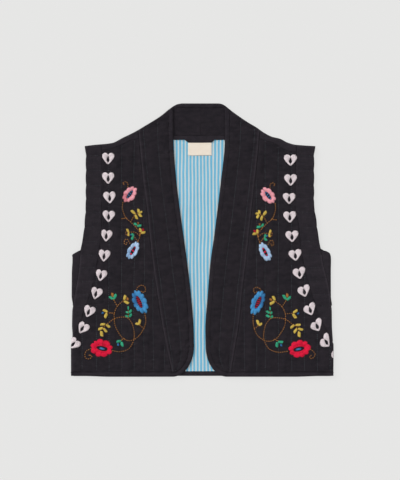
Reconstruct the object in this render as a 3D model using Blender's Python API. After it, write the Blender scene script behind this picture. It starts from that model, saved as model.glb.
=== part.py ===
"""A quilted, open-fronted vest lying flat, its front up, as a set of sewn pieces.

The hem points to -Y, the neck to +Y, and the cloth rests on z = 0. Sizes are in metres: the tables below
are in millimetres, as a cutter would write them, and MM turns them into metres.
"""
import math
from collections import namedtuple

import bmesh
import bpy

MM = 0.001

# Heights above the floor, in mm. The back lies below, its lining on it, and the fronts on top.
BACK_TOP = 3.2
LINING_BOTTOM = 3.5
LINING_TOP = 4.3
FRONT_BOTTOM = 4.6
FRONT_EDGE_TOP = 6.0
FRONT_SEAM_TOP = 7.0
FRONT_CROWN_TOP = 9.2
BINDING_TOP = 8.2

# Sizes of the make, in mm.
SEAM_GAP = 0.3
BINDING_WIDTH = 8.0
QUILT_GROOVE = 3.0
FOLD_ROLL = 8.0
SEAM_ROLL = 5.0
HEM_FRONT_Y = -273.5
HEM_BACK_Y = -270.5
NECK_TOP_Y = 273.5
CORNER_WIDTH = 43.0
CORNER_HEIGHT = 61.5
CORNER_ANGLES = [math.radians(9 * step) for step in range(1, 11)]
BAND_LINES = (0.18, 0.57)
SCALLOP = 1.2
LINING_INSET = 3.0
CENTRE_BACK_X = -3.2
BACK_NECK_ENDS = (-55.0, 41.0)
STRIP_LOW = -199.0
UNDERARM_TOP = -21.0
UNDERARM_LOW = -106.0
JOIN_LAP = 0.5
FOLD_FILL_TOP = 5.4
BINDING_EDGE = 1.2

# Rows that each neck band shares with its binding, from the rounded corner to the neck.
FRONT_ROWS_Y = [HEM_FRONT_Y + CORNER_HEIGHT + 20.6 * step for step in range(21)]

# How the grids of the pieces are set out, in mm: the stations of a rolled border, and where it ends.
EDGE_INSETS = (0.0, 0.8, 2.4)
EDGE_MARGIN = 5.0
EDGE_ROOM = 12.0
PLACE_ROUNDS = 8
BACK_COLUMNS_X = (-250, -180, -129, -128, -58, 45, 115, 116, 180, 250)
MERGE_DISTANCE = 0.00002

Edge = namedtuple("Edge", "y left right")
Shoulder = namedtuple("Shoulder", "x y")

# Outline of the back layer: armhole edge, underarm and side, from the shoulder tip to the hem.
SIDE = (
    Edge(187, -232.5, 223.5),
    Edge(72, -232.5, 223.5),
    Edge(24, -235, 230),
    Edge(0, -239, 233.5),
    Edge(-12, -243, 238),
    Edge(-26, -253, 252.5),
    Edge(-38, -259, 257),
    Edge(-60, -260.5, 257.5),
    Edge(-180, -260.5, 259.5),
    Edge(-216, -263, 263),
    Edge(-274, -263, 263),
)

# Outer edge of the front half of the armhole strip: armhole edge, then the side seam, then the side fold.
STRIP_OUTER = (
    Edge(187, -232.5, 223.5),
    Edge(72, -232.5, 223.5),
    Edge(24, -235, 230),
    Edge(0, -239, 233.5),
    Edge(-20, -244.5, 237),
    Edge(-46, -245.6, 241.5),
    Edge(-72, -248.5, 248),
    Edge(-96, -253, 253.4),
    Edge(-125, -260.5, 258.5),
    Edge(-180, -260.5, 259.5),
    Edge(-216, -263, 263),
)

# Seam between the armhole strip and the body.
STRIP_SEAM = (
    Edge(192, -201.6, 188.8),
    Edge(120, -200.6, 186.6),
    Edge(66, -201, 186.6),
    Edge(30, -201.6, 193),
    Edge(-12, -205.6, 197.6),
    Edge(-50, -211.6, 204),
    Edge(-86, -218.6, 212.5),
    Edge(-120, -228.6, 223.5),
    Edge(-158, -243, 237),
    Edge(-188, -254.6, 253.5),
    Edge(-212, -265, 265),
)

# Seam between the body and the neck band.
BAND_SEAM = (
    Edge(221, -128.6, 115.4),
    Edge(180, -124.6, 112),
    Edge(120, -118.6, 105.6),
    Edge(60, -110.6, 99.2),
    Edge(0, -104.6, 92.4),
    Edge(-50, -98.6, 87.2),
    Edge(-100, -91.4, 80.8),
    Edge(-160, -82, 74.9),
    Edge(-210, -72.5, 67),
    Edge(-256, -62.5, 59.4),
    Edge(-274, -59, 57),
)

# The open front edge, down to where the rounded corner starts.
FRONT_EDGE = (
    Edge(268, -58.6, 45.4),
    Edge(201, -57.8, 45.2),
    Edge(120, -52.2, 37.6),
    Edge(80, -47.4, 32.8),
    Edge(8, -37.6, 23.8),
    Edge(-44, -30.4, 16.4),
    Edge(-112, -22.4, 10.8),
    Edge(-178, -17.4, 6.2),
    Edge(-212, -16.6, 6.8),
)

# The fold along the top of each shoulder, and the shoulder seam a little way down the front.
FOLD_LEFT = (
    Shoulder(-232.5, 187),
    Shoulder(-196.6, 191.5),
    Shoulder(-180.6, 194.5),
    Shoulder(-160, 204),
    Shoulder(-132.6, 218.4),
    Shoulder(-116.6, 228),
    Shoulder(-84.6, 247.6),
    Shoulder(-58.6, 267),
    Shoulder(-50, 271.5),
    Shoulder(-42, NECK_TOP_Y),
)
FOLD_RIGHT = (
    Shoulder(30, NECK_TOP_Y),
    Shoulder(37, 271.5),
    Shoulder(45.4, 267.5),
    Shoulder(59.4, 256.6),
    Shoulder(91.4, 234.6),
    Shoulder(123.4, 214.2),
    Shoulder(155.4, 202.2),
    Shoulder(171.4, 194.2),
    Shoulder(187.4, 190.4),
    Shoulder(223.5, 187),
)
SEAM_LEFT = (
    Shoulder(-202, 179.5),
    Shoulder(-178.6, 184.4),
    Shoulder(-156.6, 193),
    Shoulder(-141, 200.5),
    Shoulder(-126, 203),
)
SEAM_RIGHT = (
    Shoulder(113, 202.5),
    Shoulder(137.4, 196),
    Shoulder(152.4, 189.4),
    Shoulder(163.4, 182),
    Shoulder(180.2, 176.4),
    Shoulder(189, 175.4),
)

# Seam of the back neck band, dipping a little at the middle of the neck.
NECK_SEAM = (
    Shoulder(-128.6, 215),
    Shoulder(-90, 210),
    Shoulder(-58, 208.4),
    Shoulder(45, 208.4),
    Shoulder(80, 209.5),
    Shoulder(115.4, 213),
)

# Upright quilting lines of the fronts, and crosswise ones of the armhole strips.
QUILT_X_LEFT = (-240, -212, -187, -161.5, -136.5, -116.5, -98.5, -75.5)
QUILT_X_RIGHT = (84, 108.5, 126, 152, 178.5, 204.5, 230.5, 256)
QUILT_Y = (-154, -132, -108, -82, -55, -30, -2, 26, 56, 84, 110, 140, 169)

# Rows that the body pieces share with the strips, so that their edges run side by side at the seams.
BODY_ROWS_Y = sorted(
    [-245, -225, -206, -190, -172] + list(QUILT_Y) + [(a + b) / 2 for a, b in zip(QUILT_Y, QUILT_Y[1:])]
)

# Small pieces at the back neck: left, right, bottom and top, in mm.
Patch = namedtuple("Patch", "left right bottom top")
NECK_TAPE = Patch(-57, 44.6, 203.4, 208.1)
HANGER_LOOP = Patch(-34.6, 25.4, 197.2, 203.1)
LABEL = Patch(-28.8, 18.6, 170.2, 196.9)
LOOP_SLANT = 6.0
LABEL_TOP = 5.2
LOOP_TOP = 6.0
TAPE_TOP = 5.4

PAIRED_PIECES = ("front_", "neck_band_", "armhole_strip_", "front_binding_")
SINGLE_PIECES = ("back_body", "back_neck_binding", "back_hem_binding", "neck_seam_tape", "hanger_loop")

BLACK_COTTON = (0.024, 0.020, 0.025)
BLACK_BINDING = (0.030, 0.025, 0.031)
STRIPED_COTTON = (0.32, 0.50, 0.62)
CREAM_TAPE = (0.92, 0.80, 0.65)


def clear_scene():
    """Removes every object of the scene."""
    for thing in list(bpy.data.objects):
        bpy.data.objects.remove(thing, do_unlink=True)


def cloth_material(name, colour, roughness=0.9):
    """Returns a matt Principled material."""
    material = bpy.data.materials.new(name)
    material.use_nodes = True
    shader = material.node_tree.nodes["Principled BSDF"]
    shader.inputs["Base Color"].default_value = (*colour, 1.0)
    shader.inputs["Roughness"].default_value = roughness
    return material


def smooth_value(keys, values, at):
    """Reads a smooth curve through (key, value) pairs, keys rising, at one key, without overshoot."""
    if at <= keys[0]:
        return values[0]
    if at >= keys[-1]:
        return values[-1]
    spans = [b - a for a, b in zip(keys, keys[1:])]
    slopes = [(b - a) / span for a, b, span in zip(values, values[1:], spans)]
    i = max(k for k in range(len(spans)) if keys[k] <= at)

    def tangent(k):
        """Returns the slope at key k, flat where the curve turns."""
        if k == 0:
            return slopes[0]
        if k == len(spans):
            return slopes[-1]
        if slopes[k - 1] * slopes[k] <= 0:
            return 0.0
        return 2 * slopes[k - 1] * slopes[k] / (slopes[k - 1] + slopes[k])

    span, t = spans[i], (at - keys[i]) / spans[i]
    start, end = tangent(i) * span, tangent(i + 1) * span
    return (
        (2 * t**3 - 3 * t**2 + 1) * values[i]
        + (t**3 - 2 * t**2 + t) * start
        + (3 * t**2 - 2 * t**3) * values[i + 1]
        + (t**3 - t**2) * end
    )


def edge_x(table, side, y):
    """Returns the x of one side of an edge table at height y."""
    rows = sorted(table)
    return smooth_value([row.y for row in rows], [getattr(row, side) for row in rows], y)


def line_y(table, x):
    """Returns the y of a shoulder line at x."""
    return smooth_value([row.x for row in table], [row.y for row in table], x)


def spread(stops, parts):
    """Returns the numbers from the first stop to the last, each stretch cut into equal parts."""
    out = []
    for a, b in zip(stops, stops[1:]):
        out += [a + (b - a) * k / parts for k in range(parts)]
    return out + [stops[-1]]


def roll(distance, width, low, high):
    """Returns the height of a cloth edge that rolls from low, at the edge, to high, a width inside it."""
    inside = min(max(distance, 0.0) / width, 1.0)
    return low + (high - low) * math.sqrt(1 - (1 - inside) ** 2)


def puff(at, lines):
    """Returns 0 on a quilting line and up to 1 half way between two, for wadding that swells."""
    below = [line for line in lines if line <= at]
    above = [line for line in lines if line > at]
    if not below:
        nearest, span = min(above), 25.0
    elif not above:
        nearest, span = max(below), 25.0
    else:
        nearest = min((max(below), min(above)), key=lambda line: abs(line - at))
        span = min(above) - max(below)
    return math.sin(math.pi / 2 * min(abs(at - nearest) / (span / 2), 1.0)) ** 0.6


def wall(name, columns, rows, outer, inner, material, collection):
    """Makes a closed cloth wall from a grid: the grid is the inner face, and its extrusion the outer one.

    outer and inner take a column and a row value and return a point in mm. Points that fall together
    are merged, so a column may run out at a seam.
    """
    mesh = bpy.data.meshes.new(name)
    thing = bpy.data.objects.new(name, mesh)
    collection.objects.link(thing)
    build = bmesh.new()
    bmesh.ops.create_grid(build, x_segments=len(columns) - 1, y_segments=len(rows) - 1, size=0.5)
    place = {}
    for vert in build.verts:
        column = columns[round((vert.co.x + 0.5) * (len(columns) - 1))]
        row = rows[round((vert.co.y + 0.5) * (len(rows) - 1))]
        place[vert] = (column, row)
    under = list(build.verts)
    faces = list(build.faces)
    copied = bmesh.ops.duplicate(build, geom=under + list(build.edges) + faces)
    pairs = {vert: copied["vert_map"][vert] for vert in under}
    for vert, (column, row) in place.items():
        vert.co = [MM * value for value in inner(column, row)]
        pairs[vert].co = [MM * value for value in outer(column, row)]
    rim = [edge for edge in build.edges if edge.is_boundary]
    bmesh.ops.bridge_loops(build, edges=rim)
    bmesh.ops.remove_doubles(build, verts=list(build.verts), dist=MERGE_DISTANCE)
    bmesh.ops.dissolve_degenerate(build, dist=MERGE_DISTANCE, edges=list(build.edges))
    bmesh.ops.triangulate(build, faces=list(build.faces))
    bmesh.ops.recalc_face_normals(build, faces=list(build.faces))
    build.to_mesh(mesh)
    build.free()
    mesh.shade_smooth()
    mesh.set_sharp_from_angle(angle=math.radians(40))
    mesh.materials.append(material)
    return thing


def join(base, *others):
    """Unites walls that overlap into the first one's body."""
    for other in others:
        union = base.modifiers.new("join " + other.name, "BOOLEAN")
        union.operation = "UNION"
        union.solver = "EXACT"
        union.object = other
        depsgraph = bpy.context.evaluated_depsgraph_get()
        mesh = bpy.data.meshes.new_from_object(base.evaluated_get(depsgraph))
        base.modifiers.remove(union)
        base.data = mesh
        bpy.data.objects.remove(other, do_unlink=True)
    return base


def near(inset):
    """Returns a station that lies an inset inside the first of two edges, closer where they run together."""

    def station(start, end):
        """Returns the place of the station between two edges."""
        return start + math.copysign(inset * min(1.0, abs(end - start) / EDGE_ROOM), end - start)

    return station


def far(inset):
    """Returns a station that lies an inset inside the second of two edges."""

    def station(start, end):
        """Returns the place of the station between two edges."""
        return near(inset)(end, start)

    return station


def share(part):
    """Returns a station at a share of the way between two edges, inside their rolled borders."""

    def station(start, end):
        """Returns the place of the station between two edges."""
        low, high = near(EDGE_MARGIN)(start, end), far(EDGE_MARGIN)(start, end)
        return low + (high - low) * part

    return station


def at(value):
    """Returns a station at a fixed place, held inside the rolled borders of two edges."""

    def station(start, end):
        """Returns the place of the station between two edges."""
        low, high = sorted((near(EDGE_MARGIN)(start, end), far(EDGE_MARGIN)(start, end)))
        return min(max(value, low), high)

    return station


def bordered(stations):
    """Returns stations with those of the rolled border added at both edges."""
    return [near(inset) for inset in EDGE_INSETS] + stations + [far(inset) for inset in reversed(EDGE_INSETS)]


def around(lines):
    """Returns places on each quilting line, close to its groove, and half way to the next."""
    places = []
    for line, following in zip(lines, lines[1:]):
        places += [line, line + QUILT_GROOVE, (line + following) / 2, following - QUILT_GROOVE]
    return [lines[0] - QUILT_GROOVE] + places + [lines[-1], lines[-1] + QUILT_GROOVE]


Plan = namedtuple("Plan", "outer inner bottom top")


def panel(name, plan, columns, rows, height, base, material, collection):
    """Makes a flat piece: plan bounds it, height gives its upper face in mm, and base its underside."""

    def place(column, row):
        """Returns where a column and a row cross, and how far that is inside each edge."""
        x = (plan.outer(0.0) + plan.inner(0.0)) / 2
        for _ in range(PLACE_ROUNDS):
            bottom, top = plan.bottom(x), plan.top(x)
            y = row(bottom, top)
            outer, inner = plan.outer(y), plan.inner(y)
            x = column(outer, inner)
        return x, y, (abs(x - outer), abs(x - inner), abs(y - bottom), abs(top - y))

    def upper(column, row):
        """Returns a point of the upper face."""
        x, y, inside = place(column, row)
        return x, y, height(x, y, inside)

    def under(column, row):
        """Returns a point of the underside."""
        x, y, _ = place(column, row)
        return x, y, base

    return wall(name, columns, rows, upper, under, material, collection)


def plain(top, edge_drop=1.2):
    """Returns the height of a plain piece whose edges roll a little."""

    def height(x, y, inside):
        """Returns the height at one point."""
        return min(roll(distance, SEAM_ROLL, top - edge_drop, top) for distance in inside)

    return height


def quilted(lines, axis):
    """Returns the height of a front piece, quilted along lines of one axis, between its seams."""

    def height(x, y, inside):
        """Returns the height at one point."""
        swell = puff(x if axis == "x" else y, lines)
        crown = FRONT_SEAM_TOP + (FRONT_CROWN_TOP - FRONT_SEAM_TOP) * swell
        return min([crown] + [roll(gap, SEAM_ROLL, FRONT_SEAM_TOP - 0.4, FRONT_CROWN_TOP) for gap in inside])

    return height


def outward(side):
    """Returns the direction along x from the open front edge of one side to its armhole."""
    return -1 if side == "left" else 1


def fold_line(side):
    """Returns the shoulder fold of one side."""
    return FOLD_LEFT if side == "left" else FOLD_RIGHT


def seam_line(side):
    """Returns the shoulder seam of one side."""
    return SEAM_LEFT if side == "left" else SEAM_RIGHT


def outermost(side, *places):
    """Returns the place nearest the armhole of one side."""
    return min(places) if side == "left" else max(places)


def innermost(side, *places):
    """Returns the place nearest the middle of the vest, on one side."""
    return max(places) if side == "left" else min(places)


def body_outer(side, y, gap=SEAM_GAP / 2):
    """Returns the outer edge of a body piece: its seam with the armhole strip, or the side fold."""
    seam = edge_x(STRIP_SEAM, side, y) - outward(side) * gap
    return innermost(side, seam, edge_x(SIDE, side, y))


def opening_x(side, y, inset):
    """Returns the x of the open front edge, an inset inside it, round its corner too."""
    corner_y = HEM_FRONT_Y + CORNER_HEIGHT
    if y >= corner_y:
        return edge_x(FRONT_EDGE, side, y) + outward(side) * inset
    depth = min((corner_y - y) / (CORNER_HEIGHT - inset), 1.0)
    centre = edge_x(FRONT_EDGE, side, corner_y) + outward(side) * CORNER_WIDTH
    return centre - outward(side) * (CORNER_WIDTH - inset) * math.sqrt(1 - depth**2)


def quilt_lines(side):
    """Returns the upright quilting lines of one side."""
    return QUILT_X_LEFT if side == "left" else QUILT_X_RIGHT


def quilt_columns(side):
    """Returns columns on and between the upright quilting lines, from the armhole to the band."""
    places = around(quilt_lines(side))
    return bordered([at(x) for x in (places if side == "left" else places[::-1])])


def front_body(side, material, collection):
    """Makes one front body, quilted in upright lines."""
    plan = Plan(
        outer=lambda y: body_outer(side, y),
        inner=lambda y: edge_x(BAND_SEAM, side, y) + outward(side) * SEAM_GAP / 2,
        bottom=lambda x: HEM_FRONT_Y + BINDING_WIDTH + SEAM_GAP,
        top=lambda x: line_y(seam_line(side), x) - SEAM_GAP / 2,
    )
    rows = bordered([at(y) for y in BODY_ROWS_Y + [175, 182, 190]])
    height = quilted(quilt_lines(side), "x")
    return panel("front_" + side, plan, quilt_columns(side), rows, height, FRONT_BOTTOM, material, collection)


def neck_band(side, material, collection):
    """Makes one neck band: it runs up the front, folds over at the shoulder and ends at the back neck."""
    inset = BINDING_WIDTH + SEAM_GAP

    def seam(y):
        """Returns the band's seam with the front body."""
        return edge_x(BAND_SEAM, side, y) - outward(side) * SEAM_GAP / 2

    def height(x, y, inside):
        """Returns the height of the front of the band, quilted along its two lines."""
        width = inside[0] + inside[1]
        swell = puff(inside[0], [0.0] + [line * width for line in BAND_LINES] + [width])
        crown = FRONT_SEAM_TOP + (FRONT_CROWN_TOP - FRONT_SEAM_TOP) * swell
        fold = roll(inside[3], FOLD_ROLL, FRONT_EDGE_TOP, FRONT_CROWN_TOP)
        seams = [roll(gap, SEAM_ROLL, FRONT_SEAM_TOP, FRONT_CROWN_TOP) for gap in inside[:3]]
        return min([crown, fold] + seams)

    low = HEM_FRONT_Y + inset
    front = Plan(
        outer=seam,
        inner=lambda y: innermost(side, opening_x(side, y, inset), seam(y)),
        bottom=lambda x: low + SEAM_GAP,
        top=lambda x: line_y(fold_line(side), x),
    )
    channels = list(zip((0,) + BAND_LINES, BAND_LINES + (1,)))
    shares = [a + (b - a) * part for a, b in channels for part in (0, 0.15, 0.5, 0.85)]
    corner = [low + (CORNER_HEIGHT - inset) * (1 - math.sin(angle)) for angle in CORNER_ANGLES[::-1]]
    rows = bordered([at(y) for y in corner + FRONT_ROWS_Y + spread((212, 262), 4)])
    columns = bordered([share(part) for part in shares])
    name = "neck_band_" + side
    band = panel(name, front, columns, rows, height, FRONT_BOTTOM, material, collection)

    def neck_top(x):
        """Returns the upper edge of the back of the band."""
        return min(line_y(fold_line(side), x), NECK_TOP_Y - inset)

    middle = CENTRE_BACK_X + outward(side) * SEAM_GAP / 2
    shoulder = edge_x(BAND_SEAM, side, NECK_TOP_Y) - outward(side) * 2 * SEAM_GAP
    back = Plan(
        outer=lambda y: shoulder,
        inner=lambda y: middle,
        bottom=lambda x: line_y(NECK_SEAM, x) + SEAM_GAP / 2,
        top=neck_top,
    )
    across = bordered([share(part / 9) for part in range(1, 9)])
    upright = bordered([share(part / 4) for part in range(1, 4)])
    half = panel(name + "_back", back, across, upright, plain(LINING_TOP), 0.0, material, collection)
    hinge = Plan(
        outer=lambda y: shoulder,
        inner=lambda y: opening_x(side, NECK_TOP_Y, inset),
        bottom=lambda x: max(line_y(fold_line(side), x) - FOLD_ROLL, line_y(NECK_SEAM, x) + SEAM_GAP),
        top=lambda x: line_y(fold_line(side), x) - JOIN_LAP,
    )
    filled = plain(FOLD_FILL_TOP, 0)
    fold = panel(name + "_fold", hinge, across, [near(0), far(0)], filled, JOIN_LAP, material, collection)
    return join(band, half, fold)


def armhole_strip(side, material, collection):
    """Makes one armhole strip: the quilted front half, the plain back half and the shoulder fold."""
    name = "armhole_strip_" + side

    def seam(y):
        """Returns the strip's seam with the body."""
        return edge_x(STRIP_SEAM, side, y) + outward(side) * SEAM_GAP / 2

    def front_outer(y):
        """Returns the front's outer edge, drawn in a little at each quilting line of the armhole."""
        swell = SCALLOP * puff(y, QUILT_Y) if y > 0 else 0.0
        edge = edge_x(STRIP_OUTER, side, y) - outward(side) * (SCALLOP - swell)
        return outermost(side, edge, seam(y))

    def back_outer(y):
        """Returns the back's outer edge."""
        return outermost(side, edge_x(SIDE, side, y) - outward(side) * SCALLOP / 2, seam(y))

    def fold_y(x):
        """Returns the height of the shoulder fold."""
        return line_y(fold_line(side), x)

    def height(x, y, inside):
        """Returns the height of the front half."""
        crown = quilted(QUILT_Y, "y")(x, y, inside[1:3])
        return min([crown] + [roll(inside[k], FOLD_ROLL, FRONT_EDGE_TOP, FRONT_CROWN_TOP) for k in (0, 3)])

    across = bordered([share(part) for part in (0, 0.5, 1)])
    rows = bordered([at(y) for y in [-190, -172] + around(QUILT_Y)])

    def low_end(x):
        """Returns the height at which the strip has run out into the side fold."""
        return STRIP_LOW

    front = Plan(outer=front_outer, inner=seam, bottom=low_end, top=fold_y)
    strip = panel(name, front, across, rows, height, FRONT_BOTTOM, material, collection)
    plain_rows = bordered([at(y) for y in BODY_ROWS_Y])
    back = Plan(outer=back_outer, inner=seam, bottom=low_end, top=lambda x: fold_y(x) - JOIN_LAP)
    half = panel(name + "_back", back, across, plain_rows, plain(LINING_TOP), 0.0, material, collection)
    hinge = Plan(
        outer=lambda y: edge_x(SIDE, side, NECK_TOP_Y) - outward(side) * 2 * JOIN_LAP,
        inner=lambda y: seam(NECK_TOP_Y) + outward(side) * JOIN_LAP,
        bottom=lambda x: fold_y(x) - FOLD_ROLL,
        top=lambda x: fold_y(x) - 2 * JOIN_LAP,
    )
    filled = plain(FOLD_FILL_TOP, 0)
    fold = panel(name + "_fold", hinge, across, [near(0), far(0)], filled, JOIN_LAP, material, collection)

    def roll_inner(y):
        """Returns the edge of the underarm roll that lies beside the side seam."""
        return innermost(side, edge_x(STRIP_OUTER, side, y) + outward(side) * SEAM_GAP, roll_outer(y))

    def roll_outer(y):
        """Returns the outer edge of the underarm roll, a little inside that of the back half."""
        return edge_x(SIDE, side, y) - outward(side) * (SCALLOP / 2 + JOIN_LAP / 2)

    def roll_height(x, y, inside):
        """Returns the height of the underarm roll."""
        return min(
            roll(inside[0], FOLD_ROLL, FRONT_EDGE_TOP, FRONT_CROWN_TOP),
            roll(min(inside[1:]), SEAM_ROLL, FRONT_EDGE_TOP, FRONT_CROWN_TOP),
        )

    underarm = Plan(roll_outer, roll_inner, lambda x: UNDERARM_LOW, lambda x: UNDERARM_TOP)
    roll_rows = bordered([at(y) for y in spread((UNDERARM_LOW, UNDERARM_TOP), 6)])
    rolled = panel(name + "_roll", underarm, across, roll_rows, roll_height, JOIN_LAP, material, collection)
    return join(strip, half, fold, rolled)


def back_body(material, collection):
    """Makes the back body, which wraps over both shoulders to the shoulder seams."""
    gap = SEAM_GAP / 2

    def top(x):
        """Returns the upper edge: the back neck seam, or the shoulder fold on either side."""
        if edge_x(BAND_SEAM, "left", NECK_TOP_Y) < x < edge_x(BAND_SEAM, "right", NECK_TOP_Y):
            return line_y(NECK_SEAM, x) - gap
        return line_y(FOLD_LEFT if x < 0 else FOLD_RIGHT, x) - JOIN_LAP

    plan = Plan(
        outer=lambda y: body_outer("left", y),
        inner=lambda y: body_outer("right", y),
        bottom=lambda x: HEM_BACK_Y + BINDING_WIDTH + SEAM_GAP,
        top=top,
    )
    columns = bordered([at(x) for x in spread(BACK_COLUMNS_X, 3)])
    rows = bordered([at(y) for y in BODY_ROWS_Y + spread((175, 220), 5)])
    body = panel("back_body", plan, columns, rows, plain(BACK_TOP), 0.0, material, collection)
    wraps = [shoulder_wrap(side, material, collection) for side in ("left", "right")]
    return join(body, *wraps)


def shoulder_wrap(side, material, collection):
    """Makes the stretch of the back body that folds over one shoulder."""

    def height(x, y, inside):
        """Returns the height of the fold."""
        return min(
            roll(inside[3], FOLD_ROLL, FRONT_EDGE_TOP, FRONT_CROWN_TOP),
            roll(min(inside[:3]), SEAM_ROLL, FRONT_SEAM_TOP, FRONT_CROWN_TOP),
        )

    plan = Plan(
        outer=lambda y: body_outer(side, y, SEAM_GAP),
        inner=lambda y: edge_x(BAND_SEAM, side, NECK_TOP_Y) + outward(side) * SEAM_GAP,
        bottom=lambda x: line_y(seam_line(side), x) + SEAM_GAP / 2,
        top=lambda x: line_y(fold_line(side), x),
    )
    rows = bordered([share(0.5)])
    name = "shoulder_wrap_" + side
    return panel(name, plan, quilt_columns(side), rows, height, JOIN_LAP, material, collection)


def back_lining(material, collection):
    """Makes the lining of the back, which shows between the fronts."""

    def top(x):
        """Returns the upper edge: the neck seam, or the shoulder seam on either side."""
        if edge_x(BAND_SEAM, "left", NECK_TOP_Y) < x < edge_x(BAND_SEAM, "right", NECK_TOP_Y):
            return line_y(NECK_SEAM, x) - 2 * SEAM_GAP
        return line_y(SEAM_LEFT if x < 0 else SEAM_RIGHT, x) - LINING_INSET

    plan = Plan(
        outer=lambda y: body_outer("left", y, LINING_INSET) + LINING_INSET,
        inner=lambda y: body_outer("right", y, LINING_INSET) - LINING_INSET,
        bottom=lambda x: HEM_BACK_Y + BINDING_WIDTH + SEAM_GAP,
        top=top,
    )
    columns = bordered([at(x) for x in spread(BACK_COLUMNS_X, 3)])
    rows = bordered([at(y) for y in BODY_ROWS_Y + [175, 182, 190]])
    height = plain(LINING_TOP, 0)
    return panel("back_lining", plan, columns, rows, height, LINING_BOTTOM, material, collection)


def front_path(side, inset):
    """Returns points along the front edge, an inset inside it, from the neck round the corner to the side."""
    corner_y = HEM_FRONT_Y + CORNER_HEIGHT
    centre = edge_x(FRONT_EDGE, side, corner_y) + outward(side) * CORNER_WIDTH
    points = []
    straight_top = FRONT_ROWS_Y[-1]
    for part in spread((1, 0), 4)[:-1]:
        x = opening_x(side, straight_top + (FRONT_EDGE[0].y - straight_top) * part, inset)
        top = line_y(fold_line(side), x) - SEAM_GAP
        points.append((x, straight_top + (top - straight_top) * part))
    points += [(opening_x(side, y, inset), y) for y in FRONT_ROWS_Y[::-1]]
    for angle in CORNER_ANGLES:
        x = centre - outward(side) * (CORNER_WIDTH - inset) * math.cos(angle)
        points.append((x, corner_y - (CORNER_HEIGHT - inset) * math.sin(angle)))
    side_x = edge_x(SIDE, side, HEM_FRONT_Y)
    return points + [(x, HEM_FRONT_Y + inset) for x in spread((centre, side_x), 8)[1:]]


def binding(name, outer_path, inner_path, base, top, material, collection):
    """Makes an edge binding between two matching paths, rounded over like folded tape."""

    def point(column, row, z):
        """Returns the point at a share of the width, on one row of the paths."""
        (outer_x, outer_y), (inner_x, inner_y) = outer_path[row], inner_path[row]
        return outer_x + (inner_x - outer_x) * column, outer_y + (inner_y - outer_y) * column, z

    def upper(column, row):
        """Returns a point of the rounded face."""
        low = base + BINDING_EDGE
        return point(column, row, low + (top - low) * math.sqrt(1 - (2 * column - 1) ** 2))

    def under(column, row):
        """Returns a point of the underside."""
        return point(column, row, base)

    columns = (0, 0.04, 0.15, 0.35, 0.65, 0.85, 0.96, 1)
    return wall(name, columns, range(len(outer_path)), upper, under, material, collection)


def patch(name, piece, slant, base, top, material, collection):
    """Makes a small flat strip, narrower at its lower edge where it has a slant."""

    def edge(x, away):
        """Returns one upright edge as a function of y."""
        depth = piece.top - piece.bottom
        return lambda y: x + away * slant * (piece.top - y) / depth

    plan = Plan(
        outer=edge(piece.left, 1),
        inner=edge(piece.right, -1),
        bottom=lambda x: piece.bottom,
        top=lambda x: piece.top,
    )
    stations = [near(0), near(0.6), far(0.6), far(0)]
    return panel(name, plan, stations, stations, plain(top, 0.3), base, material, collection)


def build_vest():
    """Makes every piece of the vest in its own collection."""
    clear_scene()
    collection = bpy.data.collections.new("quilted_vest")
    bpy.context.scene.collection.children.link(collection)
    sides = ("left", "right")
    names = list(SINGLE_PIECES) + [piece + side for piece in PAIRED_PIECES for side in sides]
    cotton = {}
    for name in names:
        cotton[name] = cloth_material(name + "_cotton", BLACK_BINDING if "binding" in name else BLACK_COTTON)
    back_body(cotton["back_body"], collection)
    back_lining(cloth_material("lining_cotton", STRIPED_COTTON), collection)
    for side in sides:
        front_body(side, cotton["front_" + side], collection)
        neck_band(side, cotton["neck_band_" + side], collection)
        armhole_strip(side, cotton["armhole_strip_" + side], collection)
        name = f"front_binding_{side}"
        paths = front_path(side, 0.0), front_path(side, BINDING_WIDTH)
        binding(name, *paths, FRONT_BOTTOM, BINDING_TOP, cotton[name], collection)
    across = spread(BACK_NECK_ENDS, 12)
    neck_edge = [(x, min(NECK_TOP_Y, line_y(FOLD_LEFT if x < 0 else FOLD_RIGHT, x))) for x in across]
    neck = neck_edge, [(x, NECK_TOP_Y - BINDING_WIDTH) for x in across]
    binding("back_neck_binding", *neck, 0.0, LINING_TOP, cotton["back_neck_binding"], collection)
    hem_ends = [edge_x(SIDE, side, HEM_BACK_Y) for side in sides]
    hem = [[(x, HEM_BACK_Y + inset) for x in hem_ends] for inset in (0.0, BINDING_WIDTH)]
    binding("back_hem_binding", *hem, 0.0, LINING_TOP, cotton["back_hem_binding"], collection)
    patch("neck_seam_tape", NECK_TAPE, 0.0, FRONT_BOTTOM, TAPE_TOP, cotton["neck_seam_tape"], collection)
    patch("hanger_loop", HANGER_LOOP, LOOP_SLANT, FRONT_BOTTOM, LOOP_TOP, cotton["hanger_loop"], collection)
    cream = cloth_material("label_tape", CREAM_TAPE, 0.8)
    patch("label", LABEL, 0.0, FRONT_BOTTOM, LABEL_TOP, cream, collection)


build_vest()
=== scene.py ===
"""The looks of a quilted, open-fronted folk vest that lies flat with its front up.

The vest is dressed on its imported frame: every quilted panel becomes a thin cloth shell with its own stitched
channels, puckers and creases, and the embroidery is laid on it strand by strand. Sizes in the tables are in
millimetres, in the frame's axes: +Y from hem to neck, +Z up. THIN is the least thickness of a quilted shell,
and NECK_Y a height just below the top of the front edges.
"""
from __future__ import annotations

import logging
import math
from dataclasses import dataclass, field
from enum import Enum
from functools import reduce
from typing import Callable, NamedTuple, Sequence, TypeVar

import bpy
import numpy as np
from bpy.types import Material, Node, NodeSocket, NodeTree, Object
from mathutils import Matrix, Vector, noise
from mathutils.bvhtree import BVHTree

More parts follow.
